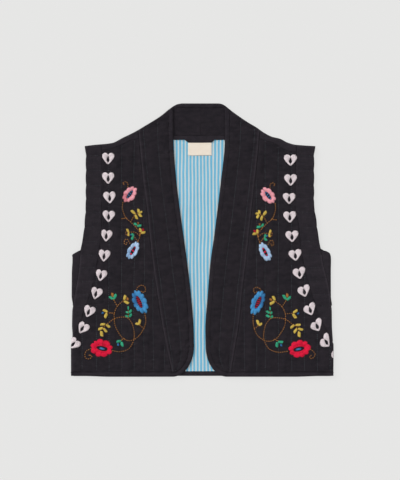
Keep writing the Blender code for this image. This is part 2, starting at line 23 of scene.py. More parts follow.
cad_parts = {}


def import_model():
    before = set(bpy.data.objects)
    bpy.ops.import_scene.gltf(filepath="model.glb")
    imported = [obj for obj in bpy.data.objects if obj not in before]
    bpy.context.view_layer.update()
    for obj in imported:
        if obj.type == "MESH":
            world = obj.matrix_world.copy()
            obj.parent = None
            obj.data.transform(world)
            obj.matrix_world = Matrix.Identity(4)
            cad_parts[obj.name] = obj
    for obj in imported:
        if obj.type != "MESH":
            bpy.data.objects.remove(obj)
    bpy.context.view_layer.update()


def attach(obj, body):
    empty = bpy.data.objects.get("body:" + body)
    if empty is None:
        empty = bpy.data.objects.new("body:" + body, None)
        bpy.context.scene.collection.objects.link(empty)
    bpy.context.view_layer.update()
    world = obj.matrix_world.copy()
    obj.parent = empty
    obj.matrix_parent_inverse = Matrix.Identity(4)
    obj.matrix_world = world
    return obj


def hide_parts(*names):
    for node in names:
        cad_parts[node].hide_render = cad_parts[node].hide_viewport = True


LOG = logging.getLogger("vest")
MM = 0.001
THIN = 0.4
NECK_Y = 268.0
YELLOW, GREEN, BROWN = "yellow_thread", "green_thread", "brown_thread"
BLUE, RED = "blue_thread", "red_thread"

Array = np.ndarray
Colour = tuple[float, float, float]
Box = tuple[float, float, float, float]
Number = float | Array
Station = Callable[[Number, Number], Number]
Line = Callable[[Number], Number]
Row = TypeVar("Row")


class Side(Enum):
    """A side of the vest, seen from above. Its value is the direction in x from front edge to armhole."""

    LEFT = -1
    RIGHT = 1

    @property
    def word(self) -> str:
        """Returns the side's word as piece names use it."""
        return self.name.lower()

    def pick(self, left: Row, right: Row) -> Row:
        """Returns whichever of two things belongs to this side."""
        return left if self is Side.LEFT else right


def table(kind: type[Row], *rows: Sequence[float | str]) -> tuple[Row, ...]:
    """Returns a table with named columns from its rows."""
    return tuple(kind(*row) for row in rows)


def lowest(*heights: Array) -> Array:
    """Returns the lowest of several heights at each place."""
    return reduce(np.minimum, heights)


class Edge(NamedTuple):
    """One row of an edge table: the x of its left and right copies at a height y."""

    y: float
    left: float
    right: float


class Spot(NamedTuple):
    """One point of a line, in mm."""

    x: float
    y: float


def smooth_values(keys: Sequence[float], values: Sequence[float], at: Array) -> Array:
    """Reads a smooth curve through rising keys, without overshoot.

    Args:
        keys: Rising places along the curve.
        values: The curve's value at each key.
        at: Places to read.

    Returns:
        The values there, held at the ends.
    """
    keys, values = np.asarray(keys, float), np.asarray(values, float)
    spans = np.diff(keys)
    slopes = np.diff(values) / spans
    tangents = np.concatenate([slopes[:1], np.zeros(len(keys) - 2), slopes[-1:]])
    before, after = slopes[:-1], slopes[1:]
    same = before * after > 0
    tangents[1:-1][same] = 2 * before[same] * after[same] / (before[same] + after[same])
    at = np.clip(at, keys[0], keys[-1])
    i = np.clip(np.searchsorted(keys, at, side="right") - 1, 0, len(spans) - 1)
    t = (at - keys[i]) / spans[i]
    return (
        (2 * t**3 - 3 * t**2 + 1) * values[i]
        + (t**3 - 2 * t**2 + t) * tangents[i] * spans[i]
        + (3 * t**2 - 2 * t**3) * values[i + 1]
        + (t**3 - t**2) * tangents[i + 1] * spans[i]
    )


@dataclass(frozen=True)
class Cut:
    """The cut of the vest: its outlines and seams, in mm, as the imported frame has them."""

    seam_gap: float = 0.06
    binding_width: float = 9.6
    hem_front_y: float = -273.5
    hem_back_y: float = -272.2
    neck_top_y: float = 274.4
    centre_back_x: float = -3.2
    corner_width: float = 43.0
    corner_height: float = 61.5
    side_corner: float = 6.5
    band_lines: tuple[float, ...] = (0.175, 0.64)
    quilt_left: tuple[float, ...] = (-240, -212, -187, -161.5, -136.5, -116.5, -98.5, -75.5)
    quilt_right: tuple[float, ...] = (84, 108.5, 126, 152, 178.5, 204.5, 230.5, 256)
    quilt_y: tuple[float, ...] = (-154, -132, -108, -82, -55, -30, -2, 26, 56, 84, 110, 140, 169)
    side_rows: tuple[Edge, ...] = table(
        Edge,
        (-274, -263.2, 262.8), (-216, -263.4, 263.2), (-190, -260.4, 262), (-172, -262, 260.4),
        (-142, -261.6, 260.4), (-130, -259.8, 260), (-112, -262, 258), (-62, -261.6, 257.8),
        (-40, -260.4, 258.2), (-35, -260.4, 258), (-30, -261.2, 257.2), (-26, -256.4, 255.6),
        (-22.6, -250.2, 250.4), (-17, -243, 236.8), (-2, -240.4, 234.2), (24, -237, 230.8),
        (50, -235, 227.4), (72, -233.8, 224.2), (170, -233.6, 224.4), (187, -235.4, 226.4),
    )
    strip_outer_rows: tuple[Edge, ...] = table(
        Edge,
        (-216, -262.9, 262.9), (-190, -260.2, 261), (-172, -261.2, 260), (-142, -260.6, 259.6),
        (-130, -258.8, 258.4), (-96, -253, 253.4), (-72, -248.5, 248), (-46, -245.6, 241.5),
        (-20, -243.8, 237.8), (-2, -240.4, 234.2), (24, -237, 230.8), (50, -235, 227.4), (72, -233.8, 224.2),
        (170, -233.6, 224.4), (187, -235.4, 226.4),
    )
    strip_seam_rows: tuple[Edge, ...] = table(
        Edge,
        (-212, -265, 265), (-188, -254.6, 253.5), (-158, -243, 237), (-120, -228.6, 223.5),
        (-86, -218.6, 212.5), (-50, -211.6, 204), (-12, -205.6, 197.6), (30, -201.6, 193), (66, -201, 186.6),
        (120, -200.6, 186.6), (192, -201.6, 188.8),
    )
    band_seam_rows: tuple[Edge, ...] = table(
        Edge,
        (-274, -59, 57), (-256, -62.5, 59.4), (-210, -72.5, 67), (-160, -82, 74.9), (-100, -91.4, 80.8),
        (-50, -98.6, 87.2), (0, -104.6, 92.4), (60, -110.6, 99.2), (120, -118.6, 105.6), (180, -124.6, 112),
        (221, -128.6, 115.4),
    )
    front_edge_rows: tuple[Edge, ...] = table(
        Edge,
        (-212, -16.6, 6.8), (-178, -17.4, 6.2), (-112, -22.4, 10.8), (-44, -30.4, 16.4), (8, -37.6, 23.8),
        (80, -47.4, 32.8), (120, -52.2, 37.6), (201, -57.8, 45.2), (268, -58.6, 45.4),
    )
    fold_left: tuple[Spot, ...] = table(
        Spot,
        (-235.4, 188.8), (-214, 191.4), (-196.6, 192.8), (-180.6, 195), (-160, 205), (-132.6, 218.6),
        (-116.6, 228.2), (-84.6, 248), (-58.6, 268.4), (-50, 272.8), (-42, 274.4),
    )
    fold_right: tuple[Spot, ...] = table(
        Spot,
        (30, 274.6), (37, 273.8), (45.4, 270), (59.4, 258.6), (91.4, 236.4), (108, 226.6), (123.4, 215.8),
        (140, 207.4), (155.4, 203.6), (171.4, 195.6), (187.4, 191.4), (226.4, 188.6),
    )
    shoulder_left: tuple[Spot, ...] = table(
        Spot,
        (-202, 179.5), (-178.6, 184.4), (-156.6, 193), (-141, 200.5), (-126, 203),
    )
    shoulder_right: tuple[Spot, ...] = table(
        Spot,
        (113, 202.5), (137.4, 196), (152.4, 189.4), (163.4, 182), (180.2, 176.4), (189, 175.4),
    )
    neck_seam_spots: tuple[Spot, ...] = table(
        Spot,
        (-128.6, 215), (-90, 210), (-58, 208.4), (45, 208.4), (80, 209.5), (115.4, 213),
    )

    @staticmethod
    def across(rows: Sequence[Edge], side: Side, y: Number) -> Number:
        """Returns the x of one side of an edge table at height y."""
        column = [side.pick(row.left, row.right) for row in rows]
        return smooth_values([row.y for row in rows], column, np.asarray(y, float))

    @staticmethod
    def along(spots: Sequence[Spot], x: Number) -> Number:
        """Returns the y of a line of spots at x."""
        return smooth_values([spot.x for spot in spots], [spot.y for spot in spots], np.asarray(x, float))

    def side_x(self, side: Side, y: Number) -> Number:
        """Returns the silhouette of one side."""
        return self.across(self.side_rows, side, y)

    def strip_seam_x(self, side: Side, y: Number) -> Number:
        """Returns the seam between armhole strip and body."""
        return self.across(self.strip_seam_rows, side, y)

    def band_seam_x(self, side: Side, y: Number) -> Number:
        """Returns the seam between body and neck band."""
        return self.across(self.band_seam_rows, side, y)

    def fold_y(self, side: Side, x: Number) -> Number:
        """Returns the fold along the top of one shoulder."""
        return self.along(side.pick(self.fold_left, self.fold_right), x)

    def shoulder_y(self, side: Side, x: Number) -> Number:
        """Returns the shoulder seam of one side, a little way down the front."""
        return self.along(side.pick(self.shoulder_left, self.shoulder_right), x)

    def neck_seam_y(self, x: Number) -> Number:
        """Returns the seam of the back neck band."""
        return self.along(self.neck_seam_spots, x)

    def quilt_x(self, side: Side) -> tuple[float, ...]:
        """Returns the upright quilting lines of one front."""
        return side.pick(self.quilt_left, self.quilt_right)

    def outermost(self, side: Side, one: Number, other: Number) -> Number:
        """Returns whichever of two places lies nearer the armhole."""
        return side.pick(np.minimum, np.maximum)(one, other)

    def innermost(self, side: Side, one: Number, other: Number) -> Number:
        """Returns whichever of two places lies nearer the middle of the vest."""
        return side.pick(np.maximum, np.minimum)(one, other)

    def body_outer(self, side: Side, y: Number, gap: float) -> Number:
        """Returns a body piece's outer edge: its seam with the armhole strip, or the side fold."""
        return self.innermost(side, self.strip_seam_x(side, y) - side.value * gap, self.side_x(side, y))

    def opening_x(self, side: Side, y: Number, inset: float) -> Number:
        """Returns the open front edge, round its lower corner too.

        Args:
            side: The side.
            y: The height.
            inset: How far inside the edge.

        Returns:
            The place in x.
        """
        corner_y = self.hem_front_y + self.corner_height
        straight = self.across(self.front_edge_rows, side, y) + side.value * inset
        centre = self.across(self.front_edge_rows, side, corner_y) + side.value * self.corner_width
        depth = np.clip((corner_y - y) / (self.corner_height - inset), 0.0, 1.0)
        rounded = centre - side.value * (self.corner_width - inset) * np.sqrt(1 - depth**2)
        return np.where(np.asarray(y) >= corner_y, straight, rounded)

    def front_path(self, side: Side, inset: float, step: float) -> Array:
        """Returns points along the front edge from the neck, round the corner and along the hem.

        Args:
            side: The side to follow.
            inset: How far inside the edge the points lie.
            step: Rough distance between the points.

        Returns:
            An array of x, y rows, of the same length for any inset.
        """
        corner_y = self.hem_front_y + self.corner_height
        straight_top = 200.0
        neck_run, corner_run, hem_run = 68, 84, 203
        upper = np.linspace(1, 0, 1 + round(neck_run / step))[:-1]
        x = self.opening_x(side, straight_top + neck_run * upper, inset)
        top = self.fold_y(side, x) - self.seam_gap
        points = [np.column_stack([x, straight_top + (top - straight_top) * upper])]
        y = np.linspace(straight_top, corner_y, round((straight_top - corner_y) / step))
        points.append(np.column_stack([self.opening_x(side, y, inset), y]))
        angle = np.linspace(0, math.pi / 2, round(corner_run / step))[1:]
        centre = self.across(self.front_edge_rows, side, corner_y) + side.value * self.corner_width
        x = centre - side.value * (self.corner_width - inset) * np.cos(angle)
        points.append(np.column_stack([x, corner_y - (self.corner_height - inset) * np.sin(angle)]))
        end = float(self.side_x(side, self.hem_front_y))
        x = np.linspace(centre, end, round(hem_run / step))[1:]
        radius = self.side_corner
        into = np.clip(radius - np.abs(end - x), 0.0, radius)
        lift = radius - np.sqrt(radius**2 - into**2) + 1.4 * ease(side.value * x, 186.0, 236.0)
        lift = lift * (1 - inset / self.binding_width)
        points.append(np.column_stack([x, self.hem_front_y + inset + lift]))
        return np.concatenate(points)


@dataclass(frozen=True)
class Levels:
    """Heights above the floor of the layers, in mm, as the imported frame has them."""

    lining_bottom: float = 3.5
    front_bottom: float = 4.6
    front_seam: float = 7.0
    front_crown: float = 9.2

    @property
    def rim(self) -> float:
        """Returns the height that rolled edges aim for, over the crown, so that they meet it softly."""
        return self.front_crown + 1.2


CUT = Cut()
LEVEL = Levels()


@dataclass(frozen=True)
class Stations:
    """Where the grid lines of a panel lie between two of its edges."""

    margin: float = 5.0
    room: float = 12.0
    insets: tuple[float, ...] = (0.0, 0.5, 1.2, 2.2, 3.5)

    def near(self, inset: float) -> Station:
        """Finds a grid line an inset inside the first edge, closer where the edges run together.

        Args:
            inset: How far inside the edge.

        Returns:
            The grid line.
        """

        def station(start: Number, end: Number) -> Number:
            """Returns the grid line's place between two edges."""
            span = end - start
            return start + np.sign(span) * inset * np.minimum(1.0, np.abs(span) / self.room)

        return station

    def far(self, inset: float) -> Station:
        """Returns a grid line an inset inside the second edge."""
        near = self.near(inset)
        return lambda start, end: near(end, start)

    def share(self, part: float) -> Station:
        """Returns a grid line at a share of the way between the rolled borders."""
        near, far = self.near(self.margin), self.far(self.margin)
        return lambda start, end: near(start, end) + (far(start, end) - near(start, end)) * part

    def spread(self, count: int) -> list[Station]:
        """Spreads grid lines from edge to edge.

        Args:
            count: Lines between the rolled borders.

        Returns:
            The grid lines, with those of the borders.
        """
        first = [self.near(inset) for inset in self.insets]
        last = [self.far(inset) for inset in reversed(self.insets)]
        return first + [self.share(part) for part in np.linspace(0, 1, count)] + last


STATIONS = Stations()


class Place(NamedTuple):
    """The grid of a panel: places, and how far each lies inside the outer, inner, bottom and top edges."""

    x: Array
    y: Array
    inside: tuple[Array, Array, Array, Array]


class Plan(NamedTuple):
    """The outline of a panel: its two edges across as lines of y, and its ends as lines of x."""

    outer: Line
    inner: Line
    bottom: Line
    top: Line

    def grid(self, columns: int, rows: int) -> Place:
        """Finds where the grid lines of a panel cross, in rounds, because x and y depend on each other.

        Args:
            columns: Lines from the outer to the inner edge, besides those in the rolled borders.
            rows: Lines from the bottom to the top, likewise.

        Returns:
            The grid's places.
        """
        rounds = 8
        across, along = STATIONS.spread(columns), STATIONS.spread(rows)
        shape = len(across), len(along)
        middle = np.zeros(1)
        x = np.full(shape, float(np.mean(self.outer(middle) + self.inner(middle)) / 2))
        y = np.zeros(shape)
        for _ in range(rounds):
            bottom, top = self.bottom(x), self.top(x)
            y = np.stack([line(bottom[:, k], top[:, k]) for k, line in enumerate(along)], axis=1)
            outer, inner = self.outer(y), self.inner(y)
            x = np.stack([line(outer[k], inner[k]) for k, line in enumerate(across)])
        return Place(x, y, (np.abs(x - outer), np.abs(x - inner), np.abs(y - bottom), np.abs(top - y)))


def flat(value: float) -> Line:
    """Returns a line that stays at one value."""
    return lambda at: np.full(np.shape(at), value)


def roll(distance: Array, width: float, low: float, high: float) -> Array:
    """Returns the height of a cloth edge that rolls over, from low at the edge to high a width inside it."""
    inside = np.clip(distance / width, 0.0, 1.0)
    return low + (high - low) * np.sqrt(1 - (1 - inside) ** 2)


def dip(distance: Array, width: float, low: float, high: float) -> Array:
    """Returns the height of a cloth edge that is drawn down into a seam, without a hard edge."""
    outside = 1 - np.clip(distance / width, 0.0, 1.0)
    return high - (high - low) * outside**1.6


def nearest_line(at: Array, lines: Sequence[float], reach: float = 12.5) -> tuple[Array, Array]:
    """Finds the nearest quilting line.

    Args:
        at: Places across the lines.
        lines: Places of the lines.
        reach: Half a channel, used outside the first and last line.

    Returns:
        The distance to the nearest line, and half the width of the channel that the place lies in.
    """
    lines = np.sort(np.asarray(lines, float))
    padded = np.concatenate([[lines[0] - 2 * reach], lines, [lines[-1] + 2 * reach]])
    i = np.clip(np.searchsorted(padded, at) - 1, 0, len(padded) - 2)
    low, high = padded[i], padded[i + 1]
    from_low = np.where(i == 0, np.inf, np.abs(at - low))
    from_high = np.where(i == len(padded) - 2, np.inf, np.abs(high - at))
    return np.minimum(from_low, from_high), (high - low) / 2


def puff(at: Array, lines: Sequence[float]) -> Array:
    """Returns 0 on a quilting line and up to 1 half way between two, for wadding that swells."""
    distance, half = nearest_line(at, lines)
    return np.sin(math.pi / 2 * np.clip(distance / half, 0.0, 1.0)) ** 0.6


def drift(x: Array, y: Array, wave_x: float, wave_y: float, seed: float) -> Array:
    """Returns smooth noise from about -1 to 1 over places in mm.

    Args:
        x: Places across.
        y: Places along.
        wave_x: Size of the lumps across, in mm.
        wave_y: Size of the lumps along, in mm.
        seed: Picks one of many alike patterns.

    Returns:
        The noise at each place.
    """
    spots = zip(np.ravel(x) / wave_x, np.ravel(y) / wave_y)
    values = [noise.noise(Vector((a, b, seed))) for a, b in spots]
    return np.reshape(values, np.shape(x)) * 1.6


class Crease(NamedTuple):
    """A soft crease: two ends, its half width, and its height, which is below 0 for a trough."""

    x0: float
    y0: float
    x1: float
    y1: float
    half: float
    height: float

    def raised(self, x: Array, y: Array) -> Array:
        """Finds the crease's height, fading towards its ends.

        Args:
            x: Places across.
            y: Places along.

        Returns:
            The height at each place.
        """
        dx, dy = self.x1 - self.x0, self.y1 - self.y0
        length = math.hypot(dx, dy)
        t = ((x - self.x0) * dx + (y - self.y0) * dy) / length**2
        away = np.abs((x - self.x0) * dy - (y - self.y0) * dx) / length
        fade = np.clip(np.sin(math.pi * np.clip(t, 0, 1)), 0, 1) ** 0.7
        return self.height * fade * np.exp(-((away / self.half) ** 2))


class Layer(NamedTuple):
    """One cloth wall: its grids of x, y, upper and lower height, and its painted light from 0 to 1, a paler
    tone standing in for light on raised seams and slanting cloth.
    """

    x: Array
    y: Array
    top: Array
    under: Array
    # Painted light: how much paler the cloth is drawn where light would catch it.
    worn: Array | float = 0.0


class Wall:
    """Builds closed cloth walls from an upper and a lower grid of points."""

    @staticmethod
    def quads(columns: int, rows: int) -> Array:
        """Returns the faces of a closed wall: the upper grid's points come first, then the lower grid's.

        Args:
            columns: Points across.
            rows: Points along.

        Returns:
            Rows of four point numbers, wound outwards for a grid that runs along +X and +Y.
        """
        upper = np.arange(columns * rows).reshape(columns, rows)
        lower = upper + columns * rows

        def strip(a: Array, b: Array, c: Array, d: Array) -> Array:
            """Returns faces from their four corners' numbers."""
            return np.stack([a.ravel(), b.ravel(), c.ravel(), d.ravel()], axis=1)

        return np.concatenate([
            strip(upper[:-1, :-1], upper[1:, :-1], upper[1:, 1:], upper[:-1, 1:]),
            strip(lower[:-1, :-1], lower[:-1, 1:], lower[1:, 1:], lower[1:, :-1]),
            strip(upper[:-1, 0], lower[:-1, 0], lower[1:, 0], upper[1:, 0]),
            strip(upper[1:, -1], lower[1:, -1], lower[:-1, -1], upper[:-1, -1]),
            strip(upper[0, 1:], lower[0, 1:], lower[0, :-1], upper[0, :-1]),
            strip(upper[-1, :-1], lower[-1, :-1], lower[-1, 1:], upper[-1, 1:]),
        ])

    @classmethod
    def build(cls, name: str, *layers: Layer) -> Object:
        """Makes one object of one or more closed walls.

        Args:
            name: The piece's name.
            layers: The walls.

        Returns:
            The new object, at the origin, smooth on its faces and crisp at its rims.
        """
        points, faces, smooth, worn, count = [], [], [], [], 0
        for x, y, top, under, painted_light_share in layers:
            quads = cls.quads(*x.shape)
            smooth.append(np.arange(len(quads)) < 2 * (x.shape[0] - 1) * (x.shape[1] - 1))
            worn.append(np.tile(np.broadcast_to(painted_light_share, x.shape).ravel(), 2))
            middle = x.shape[0] // 2, x.shape[1] // 2
            right = x[middle[0] + 1, middle[1]] - x[middle], y[middle[0] + 1, middle[1]] - y[middle]
            ahead = x[middle[0], middle[1] + 1] - x[middle], y[middle[0], middle[1] + 1] - y[middle]
            if right[0] * ahead[1] - right[1] * ahead[0] < 0:
                quads = quads[:, ::-1]
            points += [np.stack([x, y, face], axis=-1).reshape(-1, 3) for face in (top, under)]
            faces.append(quads + count)
            count += 2 * x.size
        thing = new_object(name, np.concatenate(points) * MM, np.concatenate(faces))
        thing.data.polygons.foreach_set("use_smooth", np.concatenate(smooth))
        # Painted light is stored as a point attribute that the cotton finish reads.
        painted_light_share = thing.data.attributes.new("worn", "FLOAT", "POINT")
        painted_light_share.data.foreach_set("value", np.concatenate(worn).astype(np.float32))
        return thing


def ridge(distance: Array, middle: float, half: float) -> Array:
    """Returns 1 along a line that lies a distance inside an edge, falling to 0 beside it."""
    return np.exp(-(((distance - middle) / half) ** 2))


def new_object(name: str, points: Array, faces: Array) -> Object:
    """Makes a smooth mesh object at the origin.

    Args:
        name: The object's name.
        points: Rows of x, y, z in metres.
        faces: Rows of point numbers, all of one length.

    Returns:
        The object, linked to the scene.
    """
    mesh = bpy.data.meshes.new(name)
    sides = faces.shape[1]
    mesh.vertices.add(len(points))
    mesh.vertices.foreach_set("co", points.ravel())
    mesh.loops.add(faces.size)
    mesh.loops.foreach_set("vertex_index", faces.ravel().astype(np.int32))
    mesh.polygons.add(len(faces))
    mesh.polygons.foreach_set("loop_start", np.arange(0, faces.size, sides, dtype=np.int32))
    mesh.update(calc_edges=True)
    mesh.shade_smooth()
    thing = bpy.data.objects.new(name, mesh)
    bpy.context.scene.collection.objects.link(thing)
    return thing


def dress(thing: Object, slot: str, material: Material, *nodes: str) -> Object:
    """Gives a piece its finish and its place on the vest.

    Args:
        thing: The piece.
        slot: The name of a material slot; not used.
        material: The finish.
        nodes: The frame's nodes that the piece stands for.

    Returns:
        The piece.
    """
    thing.data.materials.append(material)
    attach(thing, "root")
    if nodes:
        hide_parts(*nodes)
    LOG.info("%s: %d faces", thing.name, len(thing.data.polygons))
    return thing


def plan_area(x: Array, y: Array) -> float:
    """Returns the area that a grid covers in plan.

    Args:
        x: The grid's places across, in mm.
        y: Its places along.

    Returns:
        The area in square metres.
    """
    across = x[1:, 1:] - x[:-1, :-1], y[1:, 1:] - y[:-1, :-1]
    other = x[:-1, 1:] - x[1:, :-1], y[:-1, 1:] - y[1:, :-1]
    return float(np.abs(across[0] * other[1] - across[1] * other[0]).sum() / 2) * MM**2


@dataclass(frozen=True)
class Lip:
    """The rounded fold where a front layer turns over to the back, in mm."""

    width: float = 8.0
    middle: float = 3.4
    floor: float = 0.5
    turn: float = 4.0
    reach: float = 10.0

    def top(self, distance: Array, high: float) -> Array:
        """Returns the upper face's height at a distance inside the fold."""
        return roll(distance, self.width, self.middle, high)

    @property
    def tuck(self) -> float:
        """Returns how far short of a fold the layers inside it end."""
        return self.reach + 0.5

    def under(self, distance: Array, base: float) -> Array:
        """Returns the underside's height: it rolls in under the fold, and rises to its base further in.

        Args:
            distance: How far inside the fold.
            base: The underside's height away from the fold.

        Returns:
            The height.
        """
        tucked = roll(distance, self.turn, self.middle, self.floor)
        rise = np.clip((distance - self.width) / (self.reach - self.width), 0.0, 1.0)
        return tucked + (base - tucked) * rise


LIP = Lip()


def blend(low: Array, high: Array, share: Array) -> Array:
    """Returns a value between two others."""
    return low + (high - low) * share


def ease(value: Array, start: float, end: float) -> Array:
    """Returns a smooth step from 0 at start to 1 at end."""
    t = np.clip((value - start) / (end - start), 0.0, 1.0)
    return t * t * (3 - 2 * t)


@dataclass
class Relief:
    """The uneven swells of quilted cloth: wadding, crinkles along the stitches, and listed creases."""

    seed: float
    creases: Sequence[Crease] = ()
    swell: float = 0.6
    crinkle: float = 0.7
    pucker: float = 0.8
    crease: float = 1.5

    def height(self, x: Array, y: Array, near_stitch: Array, along: Array) -> Array:
        """Returns the relief in mm.

        Args:
            x: Places across.
            y: Places along.
            near_stitch: 1 on a quilting line, falling to 0 a little way off.
            along: Place along the quilting lines, for the puckers across them.

        Returns:
            The height to add to the smooth form.
        """
        total = self.swell * drift(x, y, 55, 80, self.seed)
        total += self.crinkle * drift(x, y, 13, 21, self.seed + 7)
        total += 0.5 * self.crinkle * drift(x, y, 6, 8, self.seed + 13)
        ripple = drift(x * 0.3, along, 30, 4.2, self.seed + 19)
        total += self.pucker * near_stitch * ripple
        for crease in self.creases:
            total += self.crease * crease.raised(x, y)
        return total


def stitched(distance: Array, reach: float = 7.0) -> Array:
    """Returns 1 on a stitch line, falling softly to 0 at a reach from it."""
    return np.exp(-((distance / reach) ** 2))


@dataclass
class FrontBody:
    """One front body: quilted in upright lines, with the side folded over to the back near the hem."""

    side: Side
    columns: int = 112
    rows: int = 222
    groove: float = 1.7
    seam_lift: float = 1.0
    fold_rows: tuple[float, float] = (-214.0, -190.0)
    flat: tuple[float, float] = (0.205, 0.466)
    creases_left: tuple[Crease, ...] = table(
        Crease,
        (-196, -262, -190, -160, 5, -0.9), (-174, -262, -171, -120, 4.5, -0.7),
        (-150, -264, -146, -170, 5, 0.8), (-128, -262, -124, -190, 4, -0.8),
        (-106, -262, -101, -150, 4.5, -0.7), (-88, -262, -84, -205, 4, 0.7),
        (-222, -258, -214, -206, 4, -0.8), (-250, -160, -226, -118, 4.5, 1.1),
        (-246, -232, -240, -172, 4, -0.9), (-205, -90, -188, -52, 4, 0.6), (-190, 60, -168, 104, 5, -0.5),
        (-128, -60, -118, 10, 4, -0.6), (-150, 20, -146, 90, 4, 0.5), (-122, 100, -134, 182, 4, -0.6),
        (-196, 120, -160, 170, 5, 0.6), (-120, -150, -108, -100, 4, 0.5),
    )
    creases_right: tuple[Crease, ...] = table(
        Crease,
        (78, -262, 82, -178, 4, -0.8), (97, -262, 98, -140, 4.5, 0.6), (121, -262, 118, -192, 4, -0.9),
        (141, -262, 139, -120, 4.5, -0.6), (166, -262, 163, -176, 4.5, 0.8),
        (190, -262, 186, -150, 4.5, -0.8), (218, -262, 212, -198, 4, 0.8), (240, -258, 232, -180, 4.5, -0.9),
        (246, -158, 222, -112, 4.5, 1.1), (200, -84, 186, -40, 4, -0.6), (176, 58, 160, 110, 5, 0.5),
        (112, -40, 108, 26, 4, -0.6), (140, 10, 134, 86, 4, 0.5), (118, 110, 130, 184, 4, -0.6),
        (184, 118, 150, 168, 5, 0.5), (104, -152, 92, -96, 4, -0.5),
    )

    def make(self, cotton: Material) -> Object:
        """Builds the front.

        Args:
            cotton: The finish.

        Returns:
            The dressed front.
        """
        side, gap = self.side, CUT.seam_gap / 2
        plan = Plan(
            outer=lambda y: CUT.body_outer(side, y, gap),
            inner=lambda y: CUT.band_seam_x(side, y) + side.value * gap,
            bottom=flat(CUT.hem_front_y + CUT.binding_width + CUT.seam_gap),
            top=lambda x: CUT.shoulder_y(side, x) - gap,
        )
        x, y, (outer, inner, bottom, top) = plan.grid(self.columns, self.rows)
        lines = CUT.quilt_x(side)
        distance, _ = nearest_line(x, lines)
        creases = side.pick(self.creases_left, self.creases_right)
        relief = Relief(3.0 + side.value, creases)
        crown = LEVEL.front_crown - self.groove * (1 - puff(x, lines))
        crown = crown + relief.height(x, y, stitched(distance), y)
        folded = 1 - ease(y, *self.fold_rows)
        low, high = LEVEL.front_seam + self.seam_lift, LEVEL.rim
        seam = dip(lowest(inner, bottom, top), 3.0, low, high)
        edge = blend(dip(outer, 3.0, low, high), LIP.top(outer, high), folded)
        height = lowest(crown, seam, edge)
        under = np.full_like(x, LEVEL.front_bottom)
        under = blend(under, LIP.under(outer, LEVEL.front_bottom), folded)
        # Painted highlight: paler lines on the raised ridge beside the band seam and on the folded side edge,
        # where light catches them.
        worn = 0.1 * ridge(inner, 1.5, 1.5) + 0.25 * folded * ridge(outer, 2.0, 3.0)
        layer = Layer(x, y, height, np.minimum(under, height - THIN), worn)
        shell = Wall.build(f"front_{side.word}_quilt", layer)
        dress(shell, "black_cotton", cotton, f"front_{side.word}")
        area = plan_area(x, y)
        return shell


